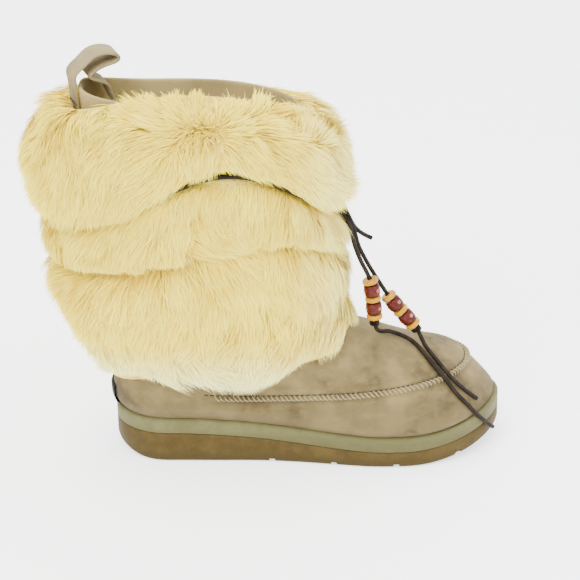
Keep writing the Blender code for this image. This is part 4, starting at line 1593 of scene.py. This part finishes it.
    def lie(self, band: FurBand, v: np.ndarray, root: np.ndarray, shift: np.ndarray) -> np.ndarray:
        """How far hair is combed down (1) or up (-1): up only near the cuff's top on the outer side.

        Args:
            band: The band.
            v: Places down the band.
            root: The hairs' roots.
            shift: How far the parting is shifted there.

        Returns:
            One value a hair.
        """
        if band.rises:
            near = smooth_share(*self.outer_side, -root[:, 1]) * smooth_share(*self.before_heel, root[:, 0])
            return 1 - 2 * near * (1 - smooth_share(*self.parting, v + shift))
        return np.ones_like(v)

    def paths(self, band: FurBand, grid: np.ndarray, u: np.ndarray, v: np.ndarray, lead: dict) -> np.ndarray:
        """The hairs' points from root to tip.

        Args:
            band: The band.
            grid: The fleece's surface.
            u: Places round the boot.
            v: Places down the band.
            lead: Each hair's swerve, length, lift, wave, phase, raggedness and shift of the parting.

        Returns:
            One row of points a hair.
        """
        normal = unit(self.sample(grid_normals(grid[::-1])[::-1], u, v))
        down = unit(self.sample(np.gradient(grid, axis=0), u, v))
        side = np.cross(normal, down)
        root = self.sample(grid, u, v)
        x = grid[:, :, 0]
        along = np.clip(2 * (root[:, 0] - x.min()) / (x.max() - x.min()) - 1, -1, 1)
        swerve = lead["swerve"] + band.sweep * along * side[:, 0]
        comb = self.lie(band, v, root, lead["shift"])
        upright = 1 - np.abs(comb)
        way = unit(
            down * (comb * np.cos(swerve))[:, None] + side * np.sin(swerve)[:, None]
            + normal * (0.5 * upright)[:, None]
        )
        length = lead["length"] * (1 - 0.3 * upright) * (1 + 0.35 * smooth_share(0.6, 0.95, v))

        def grown(length: np.ndarray) -> np.ndarray:
            """The hairs' points at given lengths.

            Args:
                length: The hairs' lengths.

            Returns:
                One row of points a hair.
            """
            points = []
            for s in np.linspace(0, 1, self.segments + 1):
                out = length * lead["lift"] * (1 - (1 - s) ** 2)
                wave = length * lead["wave"] * math.sin(math.pi * s) * np.sin(lead["phase"] + 3.4 * s)
                fall = length * 0.12 * s * s * (comb > 0)
                forward = length * s ** 1.15
                point = root + normal * out[:, None] + way * forward[:, None] + side * wave[:, None]
                points.append(point - np.array((0, 0, 1.0)) * fall[:, None])
            return np.stack(points, axis=1)

        for _ in range(2):
            length = length * self.stays(band, grid, root, grown(length)[:, -1], lead["ragged"])
        return grown(length)

    def draped(self, points: np.ndarray) -> np.ndarray:
        """The hairs' points, lifted where they would dip into the suede.

        Args:
            points: One row of points a hair.

        Returns:
            The points, moved.
        """
        rows, _ = FORM.surface(FORM.stations(20, 60, 30), (3, 8, 8, 8, 8, 4, 2, 2, 2, 2, 2))
        skin, normals = rows.reshape(-1, 3), grid_normals(rows).reshape(-1, 3)
        tree = KDTree(len(skin))
        for index, place in enumerate(skin):
            tree.insert(place, index)
        tree.balance()
        flat = points.reshape(-1, 3).copy()
        for index in np.where(flat[:, 2] < self.drape_below)[0]:
            _, near, _ = tree.find(flat[index])
            gap = float((flat[index] - skin[near]) @ normals[near])
            if gap < self.clearance:
                flat[index] += normals[near] * (self.clearance - gap)
        return flat.reshape(points.shape)

    def edge(self, ring: np.ndarray, place: np.ndarray) -> np.ndarray:
        """The height of a ring round the boot over places beside it.

        Args:
            ring: The ring.
            place: The places.

        Returns:
            One height a place.
        """
        half = len(ring) // 2
        inner, outer = ring[half::-1], np.concatenate((ring[half:], ring[:1]))
        heights = [np.interp(place[:, 0], line[:, 0], line[:, 2]) for line in (inner, outer)]
        return np.where(place[:, 1] > 0, heights[0], heights[1])

    def stays(self, band: FurBand, grid: np.ndarray, root: np.ndarray, tip: np.ndarray,
              ragged: np.ndarray) -> np.ndarray:
        """How much of each hair stays so that it ends at the band's upper or lower edge.

        Args:
            band: The band.
            grid: The fleece's surface.
            root: The hairs' roots.
            tip: The hairs' tips.
            ragged: How far each hair may end past the edge.

        Returns:
            One share a hair.
        """
        hem = np.array(band.hem)
        low = self.edge(grid[-1], tip) - np.interp(tip[:, 0], hem[:, 0], hem[:, 1]) - ragged
        free = np.where(tip[:, 1] > 0, -0.004 - np.abs(ragged), self.past_top + 1.8 * ragged)
        high = self.edge(grid[0], tip) + free
        rise = tip[:, 2] - root[:, 2]
        below = np.where(tip[:, 2] < low, (low - root[:, 2]) / np.minimum(rise, -1e-4), 1.0)
        past = (tip[:, 2] > high) & (rise > self.least_rise)
        above = np.where(past, (high - root[:, 2]) / np.maximum(rise, 1e-4), 1.0)
        return np.clip(np.minimum(below, above), self.shortest, 1.0)

    def strands(self, band: FurBand) -> tuple[np.ndarray, np.ndarray, np.ndarray, np.ndarray]:
        """All the band's hairs, loosely gathered in locks.

        Args:
            band: The band.

        Returns:
            The hairs' points, tones, directions of width and outward directions.
        """
        random = np.random.default_rng(band.seed)
        shares = FORM.stations(*COARSE_STATIONS)
        grid = self.outline(band, shares, band.sunk + self.root_depth, 6)
        girth = np.linalg.norm(np.roll(grid, -1, axis=1) - grid, axis=2).sum(1).mean()
        drop = np.linalg.norm(np.diff(grid, axis=0), axis=2).sum(0).mean()
        locks = int(girth * drop / self.lock_size ** 2)
        lock_u, lock_v = self.spread(grid, locks, random)
        lock_place = self.sample(grid, lock_u, lock_v)
        swirl = self.lumps(lock_place, random, 40, self.swirl_size)
        lock = {
            "swerve": swirl * 0.9 + random.normal(0, 0.22, locks),
            "length": band.length * random.uniform(0.80, 1.12, locks),
            "lift": random.uniform(0.15, 0.30, locks),
            "wave": random.normal(0, 0.10, locks),
            "phase": random.uniform(0, 2 * math.pi, locks),
            "shift": self.lumps(lock_place, random, 30, self.parting_size) * 0.16,
            "ragged": random.normal(0, self.ragged, locks),
        }
        lock_paths = self.paths(band, grid, lock_u, lock_v, lock)
        u, v = self.spread(grid, band.strands, random)
        place = self.sample(grid, u, v)
        count = len(u)
        parts = np.array_split(place, 1 + count // 4000)
        nearest = np.concatenate([
            ((part[:, None, :] - lock_place[None]) ** 2).sum(2).argmin(1) for part in parts
        ])
        hair = {
            "swerve": lock["swerve"][nearest] + random.normal(0, 0.26, count),
            "length": lock["length"][nearest] * random.uniform(0.65, 1.10, count),
            "lift": lock["lift"][nearest] * random.uniform(0.7, 1.3, count),
            "wave": lock["wave"][nearest] + random.normal(0, 0.08, count),
            "phase": lock["phase"][nearest] + random.normal(0, 0.8, count),
            "shift": lock["shift"][nearest],
            "ragged": lock["ragged"][nearest] + random.normal(0, 0.4 * self.ragged, count),
        }
        points = self.paths(band, grid, u, v, hair)
        gather = np.linspace(0, 1, self.segments + 1) ** 1.3 * self.gather
        pull = gather[None, :, None] * random.uniform(0.3, 1.0, count)[:, None, None]
        points = points * (1 - pull) + lock_paths[nearest] * pull
        if band.drapes:
            points = self.draped(points)
        tone = np.clip(random.normal(0.5, 0.16, count) + random.normal(0, 0.12, locks)[nearest], 0, 1)
        normal = unit(self.sample(grid_normals(grid[::-1])[::-1], u, v))
        roll = random.uniform(-0.7, 0.7, count)[:, None]
        across = unit(np.cross(normal, points[:, -1] - points[:, 0]))
        return points, tone, unit(across * np.cos(roll) + normal * np.sin(roll)), normal

    def build_hair(self, band: FurBand, material: bpy.types.Material) -> None:
        """The band's long hair, as flat tapering strands that shade like the fleece under them.

        Args:
            band: The band.
            material: The hair's material.
        """
        points, tone, facing, normal = self.strands(band)
        steps = self.segments + 1
        taper = np.array(self.taper)
        for index, part in enumerate(np.array_split(np.arange(len(points)), band.pieces)):
            path, face, out = points[part], facing[part], normal[part]
            half = 0.5 * self.width * taper[None, :, None] * face[:, None, :]
            pairs = np.stack((path[:, :-1] - half, path[:, :-1] + half), axis=2).reshape(len(part), -1, 3)
            verts = np.concatenate((pairs, path[:, -1:, :]), axis=1)
            per = verts.shape[1]
            one = []
            for k in range(steps - 2):
                a = 2 * k
                one += [(a, a + 2, a + 3), (a, a + 3, a + 1)]
            one.append((per - 3, per - 1, per - 2))
            faces = (np.array(one)[None] + (np.arange(len(part)) * per)[:, None, None]).reshape(-1, 3)
            along = np.concatenate((np.repeat(np.linspace(0, 1, steps)[:-1], 2), [1.0]))
            kept = {"along": np.tile(along, len(part)), "tone": np.repeat(tone[part], per)}
            piece = mesh_piece(f"{band.name}_hair_{index + 1}", verts.reshape(-1, 3), faces, material, kept)
            flat = unit(np.cross(face, path[:, -1] - path[:, 0]))
            flat = flat * np.sign((flat * out).sum(1, keepdims=True))
            soft = unit(out * 0.75 + flat * 0.35 + np.array((0, 0, 0.15)))
            piece.data.normals_split_custom_set_from_vertices(np.repeat(soft, per, axis=0).tolist())
            held(piece, "fur")

    def build(self) -> None:
        """Makes the fur's pieces."""
        material = LONG_FUR.material()
        for band in self.bands:
            self.build_fleece(band)
            self.build_hair(band, material)


# The pull loop and the heel tab


@dataclass
class PullLoop:
    """The suede strap sewn outside and inside the back of the collar."""

    width: float = 0.020
    thickness: float = 0.002
    sewn: float = 0.017
    rise: float = 0.022
    reach: float = 0.026
    turn: float = math.radians(20)
    clear: float = 0.0006
    soft_edge: float = 0.0007
    stitch_rows: tuple = (-0.0148, -0.0108)
    stitches: int = 5
    stitch_radius: float = 0.00045

    def path(self) -> tuple[np.ndarray, np.ndarray, np.ndarray, np.ndarray]:
        """The strap's middle line in its own plane, the collar's back, and the ways across and out.

        Returns:
            The line, the collar's back, and the ways across and out.
        """
        shares = FORM.stations(4, 7, 5)
        rows, _ = FORM.surface(shares, COARSE_STEPS)
        heel = len(shares) - 1
        collar = rows[-1, heel]
        across = np.array((-math.sin(self.turn), math.cos(self.turn)))
        out = np.array((-math.cos(self.turn), -math.sin(self.turn)))

        def span(below: float) -> tuple[float, float]:
            """How far in and out the wall lies over the strap's width.

            Args:
                below: How far below the collar's top.

            Returns:
                The least and the greatest distance out.
            """
            near = range(heel - 5, heel + 6)
            level = [collar[2] - below] * len(near)
            ring = on_columns(rows[:, :, 2], rows[:, :, :2], level, near) - collar[:2]
            away, w = ring @ out, ring @ across
            order = np.argsort(w)
            over = np.interp(np.linspace(-0.52, 0.52, 21) * self.width, w[order], away[order])
            return float(over.min()), float(over.max())

        def outside(below: float) -> float:
            """The strap's middle on the outside of the wall."""
            return span(below)[1] + self.clear + 0.5 * self.thickness

        def inside(below: float) -> float:
            """The strap's middle on the inside of the wall."""
            return span(below)[0] - 1.1 * FORM.wall - self.clear - 0.5 * self.thickness

        r, h, s = self.reach, self.rise, self.sewn
        line = np.array([
            (outside(s), -s), (outside(0.5 * s), -0.5 * s), (outside(0.0), 0.0),
            (outside(0.0) + 0.02 * r, 0.40 * h), (-0.10 * r, 0.70 * h), (-0.36 * r, 0.94 * h),
            (-0.66 * r, 1.00 * h), (-0.92 * r, 0.92 * h), (-1.00 * r, 0.80 * h), (-0.90 * r, 0.70 * h),
            (-0.62 * r, 0.62 * h), (-0.38 * r, 0.50 * h), (-0.24 * r, 0.30 * h),
            (inside(0.0) - 0.02 * r, 0.04 * h), (inside(0.4 * s), -0.4 * s), (inside(0.8 * s), -0.8 * s),
        ])
        return line, collar, across, out

    def build(self) -> None:
        """Makes the strap and its stitches."""
        line, collar, across, out = self.path()
        fine = smooth_route([(u, 0.0, z) for u, z in line], 0.0012)[:, (0, 2)]
        tangent = unit(np.gradient(fine, axis=0))
        normal = np.stack((tangent[:, 1], -tangent[:, 0]), axis=1)
        half_w, half_t = 0.5 * self.width, 0.5 * self.thickness
        soft = self.soft_edge
        section = [
            (-half_w, -half_t + soft), (-half_w + soft, -half_t), (0.0, -half_t), (half_w - soft, -half_t),
            (half_w, -half_t + soft), (half_w, half_t - soft), (half_w - soft, half_t), (0.0, half_t),
            (-half_w + soft, half_t), (-half_w, half_t - soft),
        ]
        rows = []
        for (u, z), (nu, nz) in zip(fine, normal):
            row = []
            for w, t in section:
                a, b = u + nu * t, z + nz * t
                row.append((*(collar[:2] + out * a + across * w), collar[2] + b))
            rows.append(row)
        grid = np.array(rows)
        caps = [np.tile(grid[k].mean(0), (1, len(section), 1)) for k in (0, -1)]
        grid = np.concatenate((caps[0], grid, caps[1]))
        held(grid_piece("pull_strap", grid, STRAP_SUEDE.material()), "strap", "pull_loop")
        self.build_stitches(fine, normal, collar, across, out)

    def build_stitches(self, fine: np.ndarray, normal: np.ndarray, collar: np.ndarray, across: np.ndarray,
                       out: np.ndarray) -> None:
        """Two rows of dark bar stitches across the strap's sewn end.

        Args:
            fine: The strap's middle line in its own plane.
            normal: The directions through its thickness.
            collar: The middle of the collar's back.
            across: The way across the strap, in plan.
            out: The way out from the shaft, in plan.
        """
        lines = []
        half = 0.5 * self.thickness + 0.0002
        for low in self.stitch_rows:
            index = int(np.argmin(np.abs(fine[:14, 1] - low)))
            for k in range(self.stitches):
                w0 = (k + 0.15) / self.stitches - 0.5
                w1 = w0 + 0.7 / self.stitches
                points = []
                for t, lift in ((0, -0.4), (0.2, 0.6), (0.5, 0.9), (0.8, 0.6), (1, -0.4)):
                    u, z = fine[index] - normal[index] * -(half + lift * 0.0003)
                    w = (w0 + (w1 - w0) * t) * self.width * 0.86
                    points.append((*(collar[:2] + out * u + across * w), collar[2] + z))
                lines.append(points)
        piece = tubes_piece("strap_stitches", np.array(lines), self.stitch_radius, 6, DARK_THREAD.material())
        held(piece, "strap")


@dataclass
class HeelTab:
    """The plain dark tab on the back of the heel."""

    height: float = 0.013
    half_width: float = 0.014
    lowest: float = 0.0028
    faces: tuple[float, float] = (0.0004, 0.0019)

    def build(self, skin: UpperSkin) -> None:
        """Makes the tab over the suede.

        Args:
            skin: The suede's surface.
        """
        heel = int(np.argmin(skin.share))
        near = range(heel - 60, heel + 61)
        chosen = [k for k in near if abs(skin.rows[4, k, 1]) < self.half_width]
        above = skin.rows[:, :, 2] - FORM.midsole_top(skin.rows[:, :, 0])
        rows = []
        for outward in self.faces:
            part = []
            for t in np.linspace(0, 1, 10):
                wanted = [self.lowest + self.height * t] * len(chosen)
                points = on_columns(above, skin.rows, wanted, chosen)
                normals = on_columns(above, skin.normals, wanted, chosen)
                ease = 1 - 0.5 * (t in (0.0, 1.0))
                part.append(points + unit(normals) * outward * ease)
            rows.append(np.array(part))
        grid = np.concatenate((rows[1], rows[0][::-1]))
        piece = grid_piece("heel_patch", grid, TAB_SUEDE.material(), False, True)
        held(piece, "tab", "heel_tab")


# The lace


class BeadKind(Enum):
    """The two kinds of bead."""

    RING = "ring"
    BARREL = "barrel"


def turned(points: np.ndarray, way: Vector, middle: Vector) -> np.ndarray:
    """Points round +Z at the origin, turned to a direction and moved to a middle."""
    return points @ np.array(way.to_track_quat("Z", "Y").to_matrix()).T + np.array(middle)


@dataclass(frozen=True)
class LaceLooks:
    """The materials of the lace, its beads and their dots."""

    dots: bpy.types.Material
    lace: bpy.types.Material
    beads: dict[BeadKind, bpy.types.Material]


@dataclass
class BeadedLace:
    """The lace in the upper crease, its knot, its short end and two beaded ends."""

    diameter: float = 0.003
    bead_width: float = 0.011
    bead_hole: float = 0.0038
    barrel_length: float = 0.0082
    ring_length: float = 0.0036
    bead_gap: float = 0.0008
    knot_width: float = 0.0078
    knot_length: float = 0.0042
    first_knot: tuple = (23.4, -4.0, 176.8)
    outer_from: float = 0.0535
    inner_from: float = 0.0705
    beads: int = 5
    barrel_bulge: float = 0.34
    ring_bulge: float = 0.62
    dots: int = 3
    dot_rings: tuple = ((0.0003, 0.0009), (0.0001, 0.0014), (-0.0006, 0.0017))
    dot_sides: int = 14
    dot_turn: float = 1.9
    round_heights: tuple = (0.653, 0.741, 0.809, 0.667)
    round_reaches: tuple = (0.81, 0.52, 0.30)
    round_sunk: float = 0.004
    tab_route: tuple = (
        (26.6, -3.4, 174.2), (28.8, -3.6, 169.2), (31.2, -3.8, 164.2), (34.0, -4.0, 160.0),
        (37.6, -4.2, 156.8), (41.0, -4.4, 154.8), (44.6, -4.6, 153.0),
    )
    outer_route: tuple = (
        (23.6, -9.0, 174.6), (28.6, -11.5, 167.0), (31.0, -11.5, 158.0), (33.2, -11.0, 149.0),
        (37.0, -10.4, 138.5), (41.2, -10.0, 129.4), (43.8, -10.0, 121.6), (45.4, -10.0, 108.0),
        (46.4, -10.0, 95.6), (46.8, -10.0, 90.6), (48.2, -9.6, 86.6), (51.2, -7.6, 84.4),
        (55.2, -5.0, 83.2), (60.4, -3.8, 81.2), (66.3, -3.6, 78.6), (71.5, -5.9, 76.4),
        (75.5, -9.9, 74.4), (79.9, -16.1, 71.4), (84.4, -22.2, 67.6), (89.6, -28.1, 63.0),
        (93.3, -30.5, 58.9), (96.8, -30.9, 54.4), (102.6, -31.1, 46.4), (109.0, -31.0, 39.1),
        (117.6, -29.0, 28.6), (123.4, -25.4, 21.6), (128.4, -21.4, 15.6),
    )
    inner_route: tuple = (
        (27.0, -7.6, 174.4), (29.8, -7.9, 168.6), (32.6, -8.0, 160.0), (35.4, -6.8, 149.0),
        (40.8, -4.6, 136.2), (46.7, -3.2, 124.8), (52.4, -3.4, 115.2), (57.6, -3.8, 107.0),
        (66.4, -4.0, 96.0), (74.8, -4.0, 85.6), (77.4, -3.6, 80.6), (79.2, -5.2, 77.0),
        (81.2, -9.4, 74.0), (85.4, -15.4, 70.4), (90.2, -21.8, 66.4), (96.8, -27.8, 60.0),
        (102.4, -26.8, 53.2), (109.3, -25.5, 46.2), (116.5, -23.8, 39.4),
    )

    def round_line(self, name: str, points: np.ndarray, material: bpy.types.Material,
                   radius: float, closed: bool = False) -> bpy.types.Object:
        """A round cord along points, as a curve.

        Args:
            name: The piece's name.
            points: Its middle line.
            material: What it is made of.
            radius: Half its thickness.
            closed: Whether it joins its own start.

        Returns:
            The object.
        """
        curve = bpy.data.curves.new(name, "CURVE")
        curve.dimensions = "3D"
        curve.bevel_depth = radius
        curve.bevel_resolution = 4
        curve.use_fill_caps = not closed
        spline = curve.splines.new("POLY")
        spline.points.add(len(points) - 1)
        for target, point in zip(spline.points, points):
            target.co = (*point, 1.0)
        spline.use_cyclic_u = closed
        spline.use_smooth = True
        curve.materials.append(material)
        piece = bpy.data.objects.new(name, curve)
        bpy.context.scene.collection.objects.link(piece)
        return piece

    def place(self, points: np.ndarray, start: float, end: float) -> tuple[Vector, Vector]:
        """The middle and the direction of the stretch between two distances along a route.

        Args:
            points: The route.
            start: Where the stretch starts, in metres.
            end: Where it ends.

        Returns:
            The middle and the direction.
        """
        length = distances(points)
        low, high = (
            Vector([float(np.interp(distance, length, points[:, axis])) for axis in range(3)])
            for distance in (start, end)
        )
        return (low + high) / 2, (high - low).normalized()

    def bead(self, name: str, kind: BeadKind, middle: Vector, way: Vector, length: float,
             material: bpy.types.Material) -> bpy.types.Object:
        """One turned bead on the lace.

        Args:
            name: The piece's name.
            kind: A flat ring or a barrel.
            middle: Its middle.
            way: The lace's direction there.
            length: Its length.
            material: What it is made of.

        Returns:
            The object.
        """
        hole, wide, half = 0.5 * self.bead_hole, 0.5 * self.bead_width, 0.5 * length
        bulge = self.barrel_bulge if kind is BeadKind.BARREL else self.ring_bulge
        profile = [(hole, 0.86 * half), (hole + 0.0004, half)]
        for k in range(9):
            angle = math.pi * (k / 8 - 0.5)
            depth = math.cos(angle)
            radius = wide * (1 - bulge * 0.5) + wide * bulge * 0.5 * depth ** 0.6
            profile.append((radius, -half * math.sin(angle) * (1.0 if 0 < k < 8 else 0.98)))
        profile += [(hole + 0.0004, -half), (hole, -0.86 * half)]
        turns = 32
        angle = np.arange(turns) / turns * 2 * math.pi
        ring = np.stack((np.cos(angle), np.sin(angle), np.zeros(turns)), axis=1)
        rows = np.array([ring * radius + np.array((0, 0, z)) for radius, z in profile])[::-1]
        return grid_piece(name, turned(rows, way, middle), material, True, True)

    def inlay(self, name: str, middle: Vector, way: Vector, material: bpy.types.Material) -> bpy.types.Object:
        """The pale dots inlaid round a barrel.

        Args:
            name: The piece's name.
            middle: The barrel's middle.
            way: The lace's direction there.
            material: What they are made of.

        Returns:
            The object, all dots in one mesh.
        """
        wide, sides = 0.5 * self.bead_width * 0.985, self.dot_sides
        points, faces = [], []
        for k in range(self.dots):
            angle = 2 * math.pi * k / self.dots - self.dot_turn
            away = np.array((math.cos(angle), math.sin(angle), 0.0))
            across = np.array((-math.sin(angle), math.cos(angle), 0.0))
            first = len(points)
            points.append(away * (wide + 0.00035))
            for lift, radius in self.dot_rings:
                for j in range(sides):
                    a = 2 * math.pi * j / sides
                    spot = across * math.cos(a) * radius + np.array((0, 0, math.sin(a) * radius))
                    points.append(away * (wide + lift) + spot)
            for j in range(sides):
                after = (j + 1) % sides
                faces.append((first, first + 1 + j, first + 1 + after))
                for level in range(len(self.dot_rings) - 1):
                    a = first + 1 + level * sides
                    b = a + sides
                    faces += [(a + j, b + j, b + after), (a + j, b + after, a + after)]
        return mesh_piece(f"{name}_dots", turned(np.array(points), way, middle), np.array(faces), material)

    def knot(self, name: str, middle: Vector, way: Vector, width: float, length: float,
             material: bpy.types.Material) -> bpy.types.Object:
        """An overhand knot, pulled tight.

        Args:
            name: The piece's name.
            middle: Its middle.
            way: The lace's direction there.
            width: Its size across the lace.
            length: Its size along the lace.
            material: What it is made of.

        Returns:
            The object.
        """
        angle = np.arange(60) / 60 * 2 * math.pi
        x = np.sin(angle) + 2 * np.sin(2 * angle)
        y = np.cos(angle) - 2 * np.cos(2 * angle)
        line = np.stack((x, y, -1.6 * np.sin(3 * angle)), axis=1)
        radius = 0.34 * self.diameter
        reach = 0.5 * width - radius
        scale = np.array((reach, reach, 0.5 * length)) / np.array((3.0, 3.0, 1.6))
        return self.round_line(name, turned(line * scale, way, middle), material, radius * 1.15, True)

    def beaded_end(self, side: str, route: tuple, beads_from: float, looks: LaceLooks) -> bpy.types.Object:
        """One long end with its beads and the knot that stops them.

        Args:
            side: The side whose end it is, inner or outer.
            route: The lace's points, in mm.
            beads_from: How far along the first bead starts.
            looks: The materials.

        Returns:
            The lace.
        """
        points = smooth_route(np.array(route) * MM, 0.0016)
        cord = self.round_line(f"{side}_lace", points, looks.lace, 0.5 * self.diameter)
        held(cord, "lace", f"lace_end_{side}")
        with_it, inlays = [], []
        distance = beads_from
        for index in range(self.beads):
            kind = BeadKind.RING if index % 2 == 0 else BeadKind.BARREL
            length = self.ring_length if kind is BeadKind.RING else self.barrel_length
            middle, way = self.place(points, distance, distance + length)
            name = f"{side}_bead_{index + 1}"
            piece = self.bead(name, kind, middle, way, length, looks.beads[kind])
            if kind is BeadKind.BARREL:
                inlays.append(self.inlay(name, middle, way, looks.dots))
            slot = "bead_yellow" if kind is BeadKind.RING else "bead_red"
            with_it.append(held(piece, slot, f"bead_{side}_{index + 1}"))
            distance += length + self.bead_gap
        middle, way = self.place(points, distance, distance + self.knot_length)
        knot = self.knot(f"{side}_end_knot", middle, way, self.knot_width, self.knot_length, looks.lace)
        with_it.append(held(knot, "lace", f"knot_{side}"))
        with_it += [held(inlay, "bead_yellow") for inlay in inlays]
        return cord

    def build(self) -> None:
        """Makes the lace's pieces."""
        looks = LaceLooks(PALE_DOT.material(), DARK_LACE.material(), {
            BeadKind.RING: YELLOW_GLAZE.material(), BeadKind.BARREL: RED_GLAZE.material(),
        })
        lace = looks.lace
        shares = FORM.stations(*COARSE_STATIONS)
        share, _ = FORM.both_sides(shares)
        rows, _ = FORM.surface(shares, COARSE_STEPS)
        coat = FurCoat()
        points = coat.wall_at(rows, along_four(self.round_heights, share) * FORM.upper_height)
        reach = round_reach(2 * share - 1, *self.round_reaches) * coat.depth + 0.3 * self.diameter
        reach = reach - self.round_sunk * (1 - smooth_share(-0.100, -0.075, points[:, 0]))
        points[:, :2] += ring_normals(points[:, :2]) * reach[:, None]
        held(self.round_line("lace_round", points, lace, 0.5 * self.diameter, True), "lace", "lace_wrap")
        middle = Vector(self.first_knot) * MM
        knot = self.knot("front_knot", middle, Vector((0.45, 0.2, -0.87)), 0.0085, 0.0062, lace)
        held(knot, "lace", "lace_knot")
        tab = smooth_route(np.array(self.tab_route) * MM, 0.0014)
        short = self.round_line("short_lace", tab, lace, 0.5 * self.diameter)
        held(short, "lace", "lace_tab")
        self.beaded_end("outer", self.outer_route, self.outer_from, looks)
        self.beaded_end("inner", self.inner_route, self.inner_from, looks)


# The studio


@dataclass
class Studio:
    """Floor, soft lights and the camera."""

    camera_place: tuple = (-0.01124, -1.30709, 0.72729)
    pan: float = math.radians(-0.00634)
    tilt: float = math.radians(-25.1708)
    roll: float = math.radians(-0.8689)
    lens: float = 130.67
    aim: tuple = (0.0, 0.0, 0.1)
    lights: tuple = (
        # name, place, size, power, colour
        ("key", (-0.7, -1.1, 1.5), 1.2, 54.0, (1.0, 0.985, 0.96)),
        ("fill", (1.3, -0.9, 0.9), 1.4, 26.0, (0.97, 0.985, 1.0)),
        ("top", (0.0, 0.4, 1.9), 1.4, 38.0, (1.0, 1.0, 1.0)),
    )
    sky: Colour = (0.95, 0.97, 1.0)
    sky_strength: float = 1.9

    def build_camera(self) -> None:
        """The camera at the photograph's angle."""
        level = math.cos(self.tilt)
        forward = np.array((math.sin(self.pan) * level, math.cos(self.pan) * level, math.sin(self.tilt)))
        right = unit(np.cross(forward, (0, 0, 1)))
        up = np.cross(right, forward)
        across = right * math.cos(self.roll) + up * math.sin(self.roll)
        upward = -right * math.sin(self.roll) + up * math.cos(self.roll)
        matrix = Matrix([
            [across[k], upward[k], -forward[k], self.camera_place[k]] for k in range(3)
        ] + [[0, 0, 0, 1]])
        data = bpy.data.cameras.new("studio_camera")
        data.lens = self.lens
        data.sensor_width = 36.0
        data.clip_end = 20.0
        camera = bpy.data.objects.new("studio_camera", data)
        camera.matrix_world = matrix
        bpy.context.scene.collection.objects.link(camera)
        bpy.context.scene.camera = camera

    def build_floor(self) -> None:
        """A pale floor that runs up behind the boot."""
        columns = np.linspace(-3.0, 3.0, 2)
        profile = [(-3.0, 0.0), (1.2, 0.0)]
        profile += [(1.2 + 0.8 * math.sin(a), 0.8 - 0.8 * math.cos(a)) for a in np.linspace(0.1, 1.5, 14)]
        profile.append((2.02, 4.0))
        grid = np.array([[(x, y, z - 0.0002) for x in columns] for y, z in profile])
        shade = Shade(
            "studio_floor", Roughness=0.95, Specular_IOR_Level=0.1,
            Emission_Color=(1.0, 1.0, 1.0, 1.0), Emission_Strength=1.3,
        )
        colour = shade.mix(shade.noise(0.6, 1.0), (0.93, 0.93, 0.93), (0.95, 0.95, 0.95))
        floor = grid_piece("studio_floor", grid[:, ::-1], shade.done(colour), False)

    def build_light(self, name: str, place: tuple, size: float, power: float, colour: Colour) -> None:
        """One square soft light, aimed at the boot.

        Args:
            name: The light's name.
            place: Where it stands.
            size: The length of its side.
            power: Its power, in watts.
            colour: Its colour.
        """
        data = bpy.data.lights.new(name, "AREA")
        data.size = size
        data.energy = power
        data.color = colour
        light = bpy.data.objects.new(name, data)
        light.location = place
        light.rotation_euler = (Vector(self.aim) - Vector(place)).to_track_quat("-Z", "Y").to_euler()
        bpy.context.scene.collection.objects.link(light)

    def build(self) -> None:
        """Makes the studio."""
        self.build_camera()
        self.build_floor()
        for light in self.lights:
            self.build_light(*light)
        world = bpy.data.worlds.new("studio_world")
        bpy.context.scene.world = world
        world.use_nodes = True
        sky = world.node_tree.nodes["Background"]
        sky.inputs["Color"].default_value = (*self.sky, 1.0)
        sky.inputs["Strength"].default_value = self.sky_strength


def main() -> None:
    """Builds the studio and the boot's pieces in order."""
    logging.basicConfig(level=logging.INFO, format="%(name)s: %(message)s")
    Studio().build()
    BeadedLace().build()
    Sole().build()
    skin = Upper().build()
    PullLoop().build()
    HeelTab().build(skin)
    FurCoat().build()


if __name__ == "__main__":
    main()
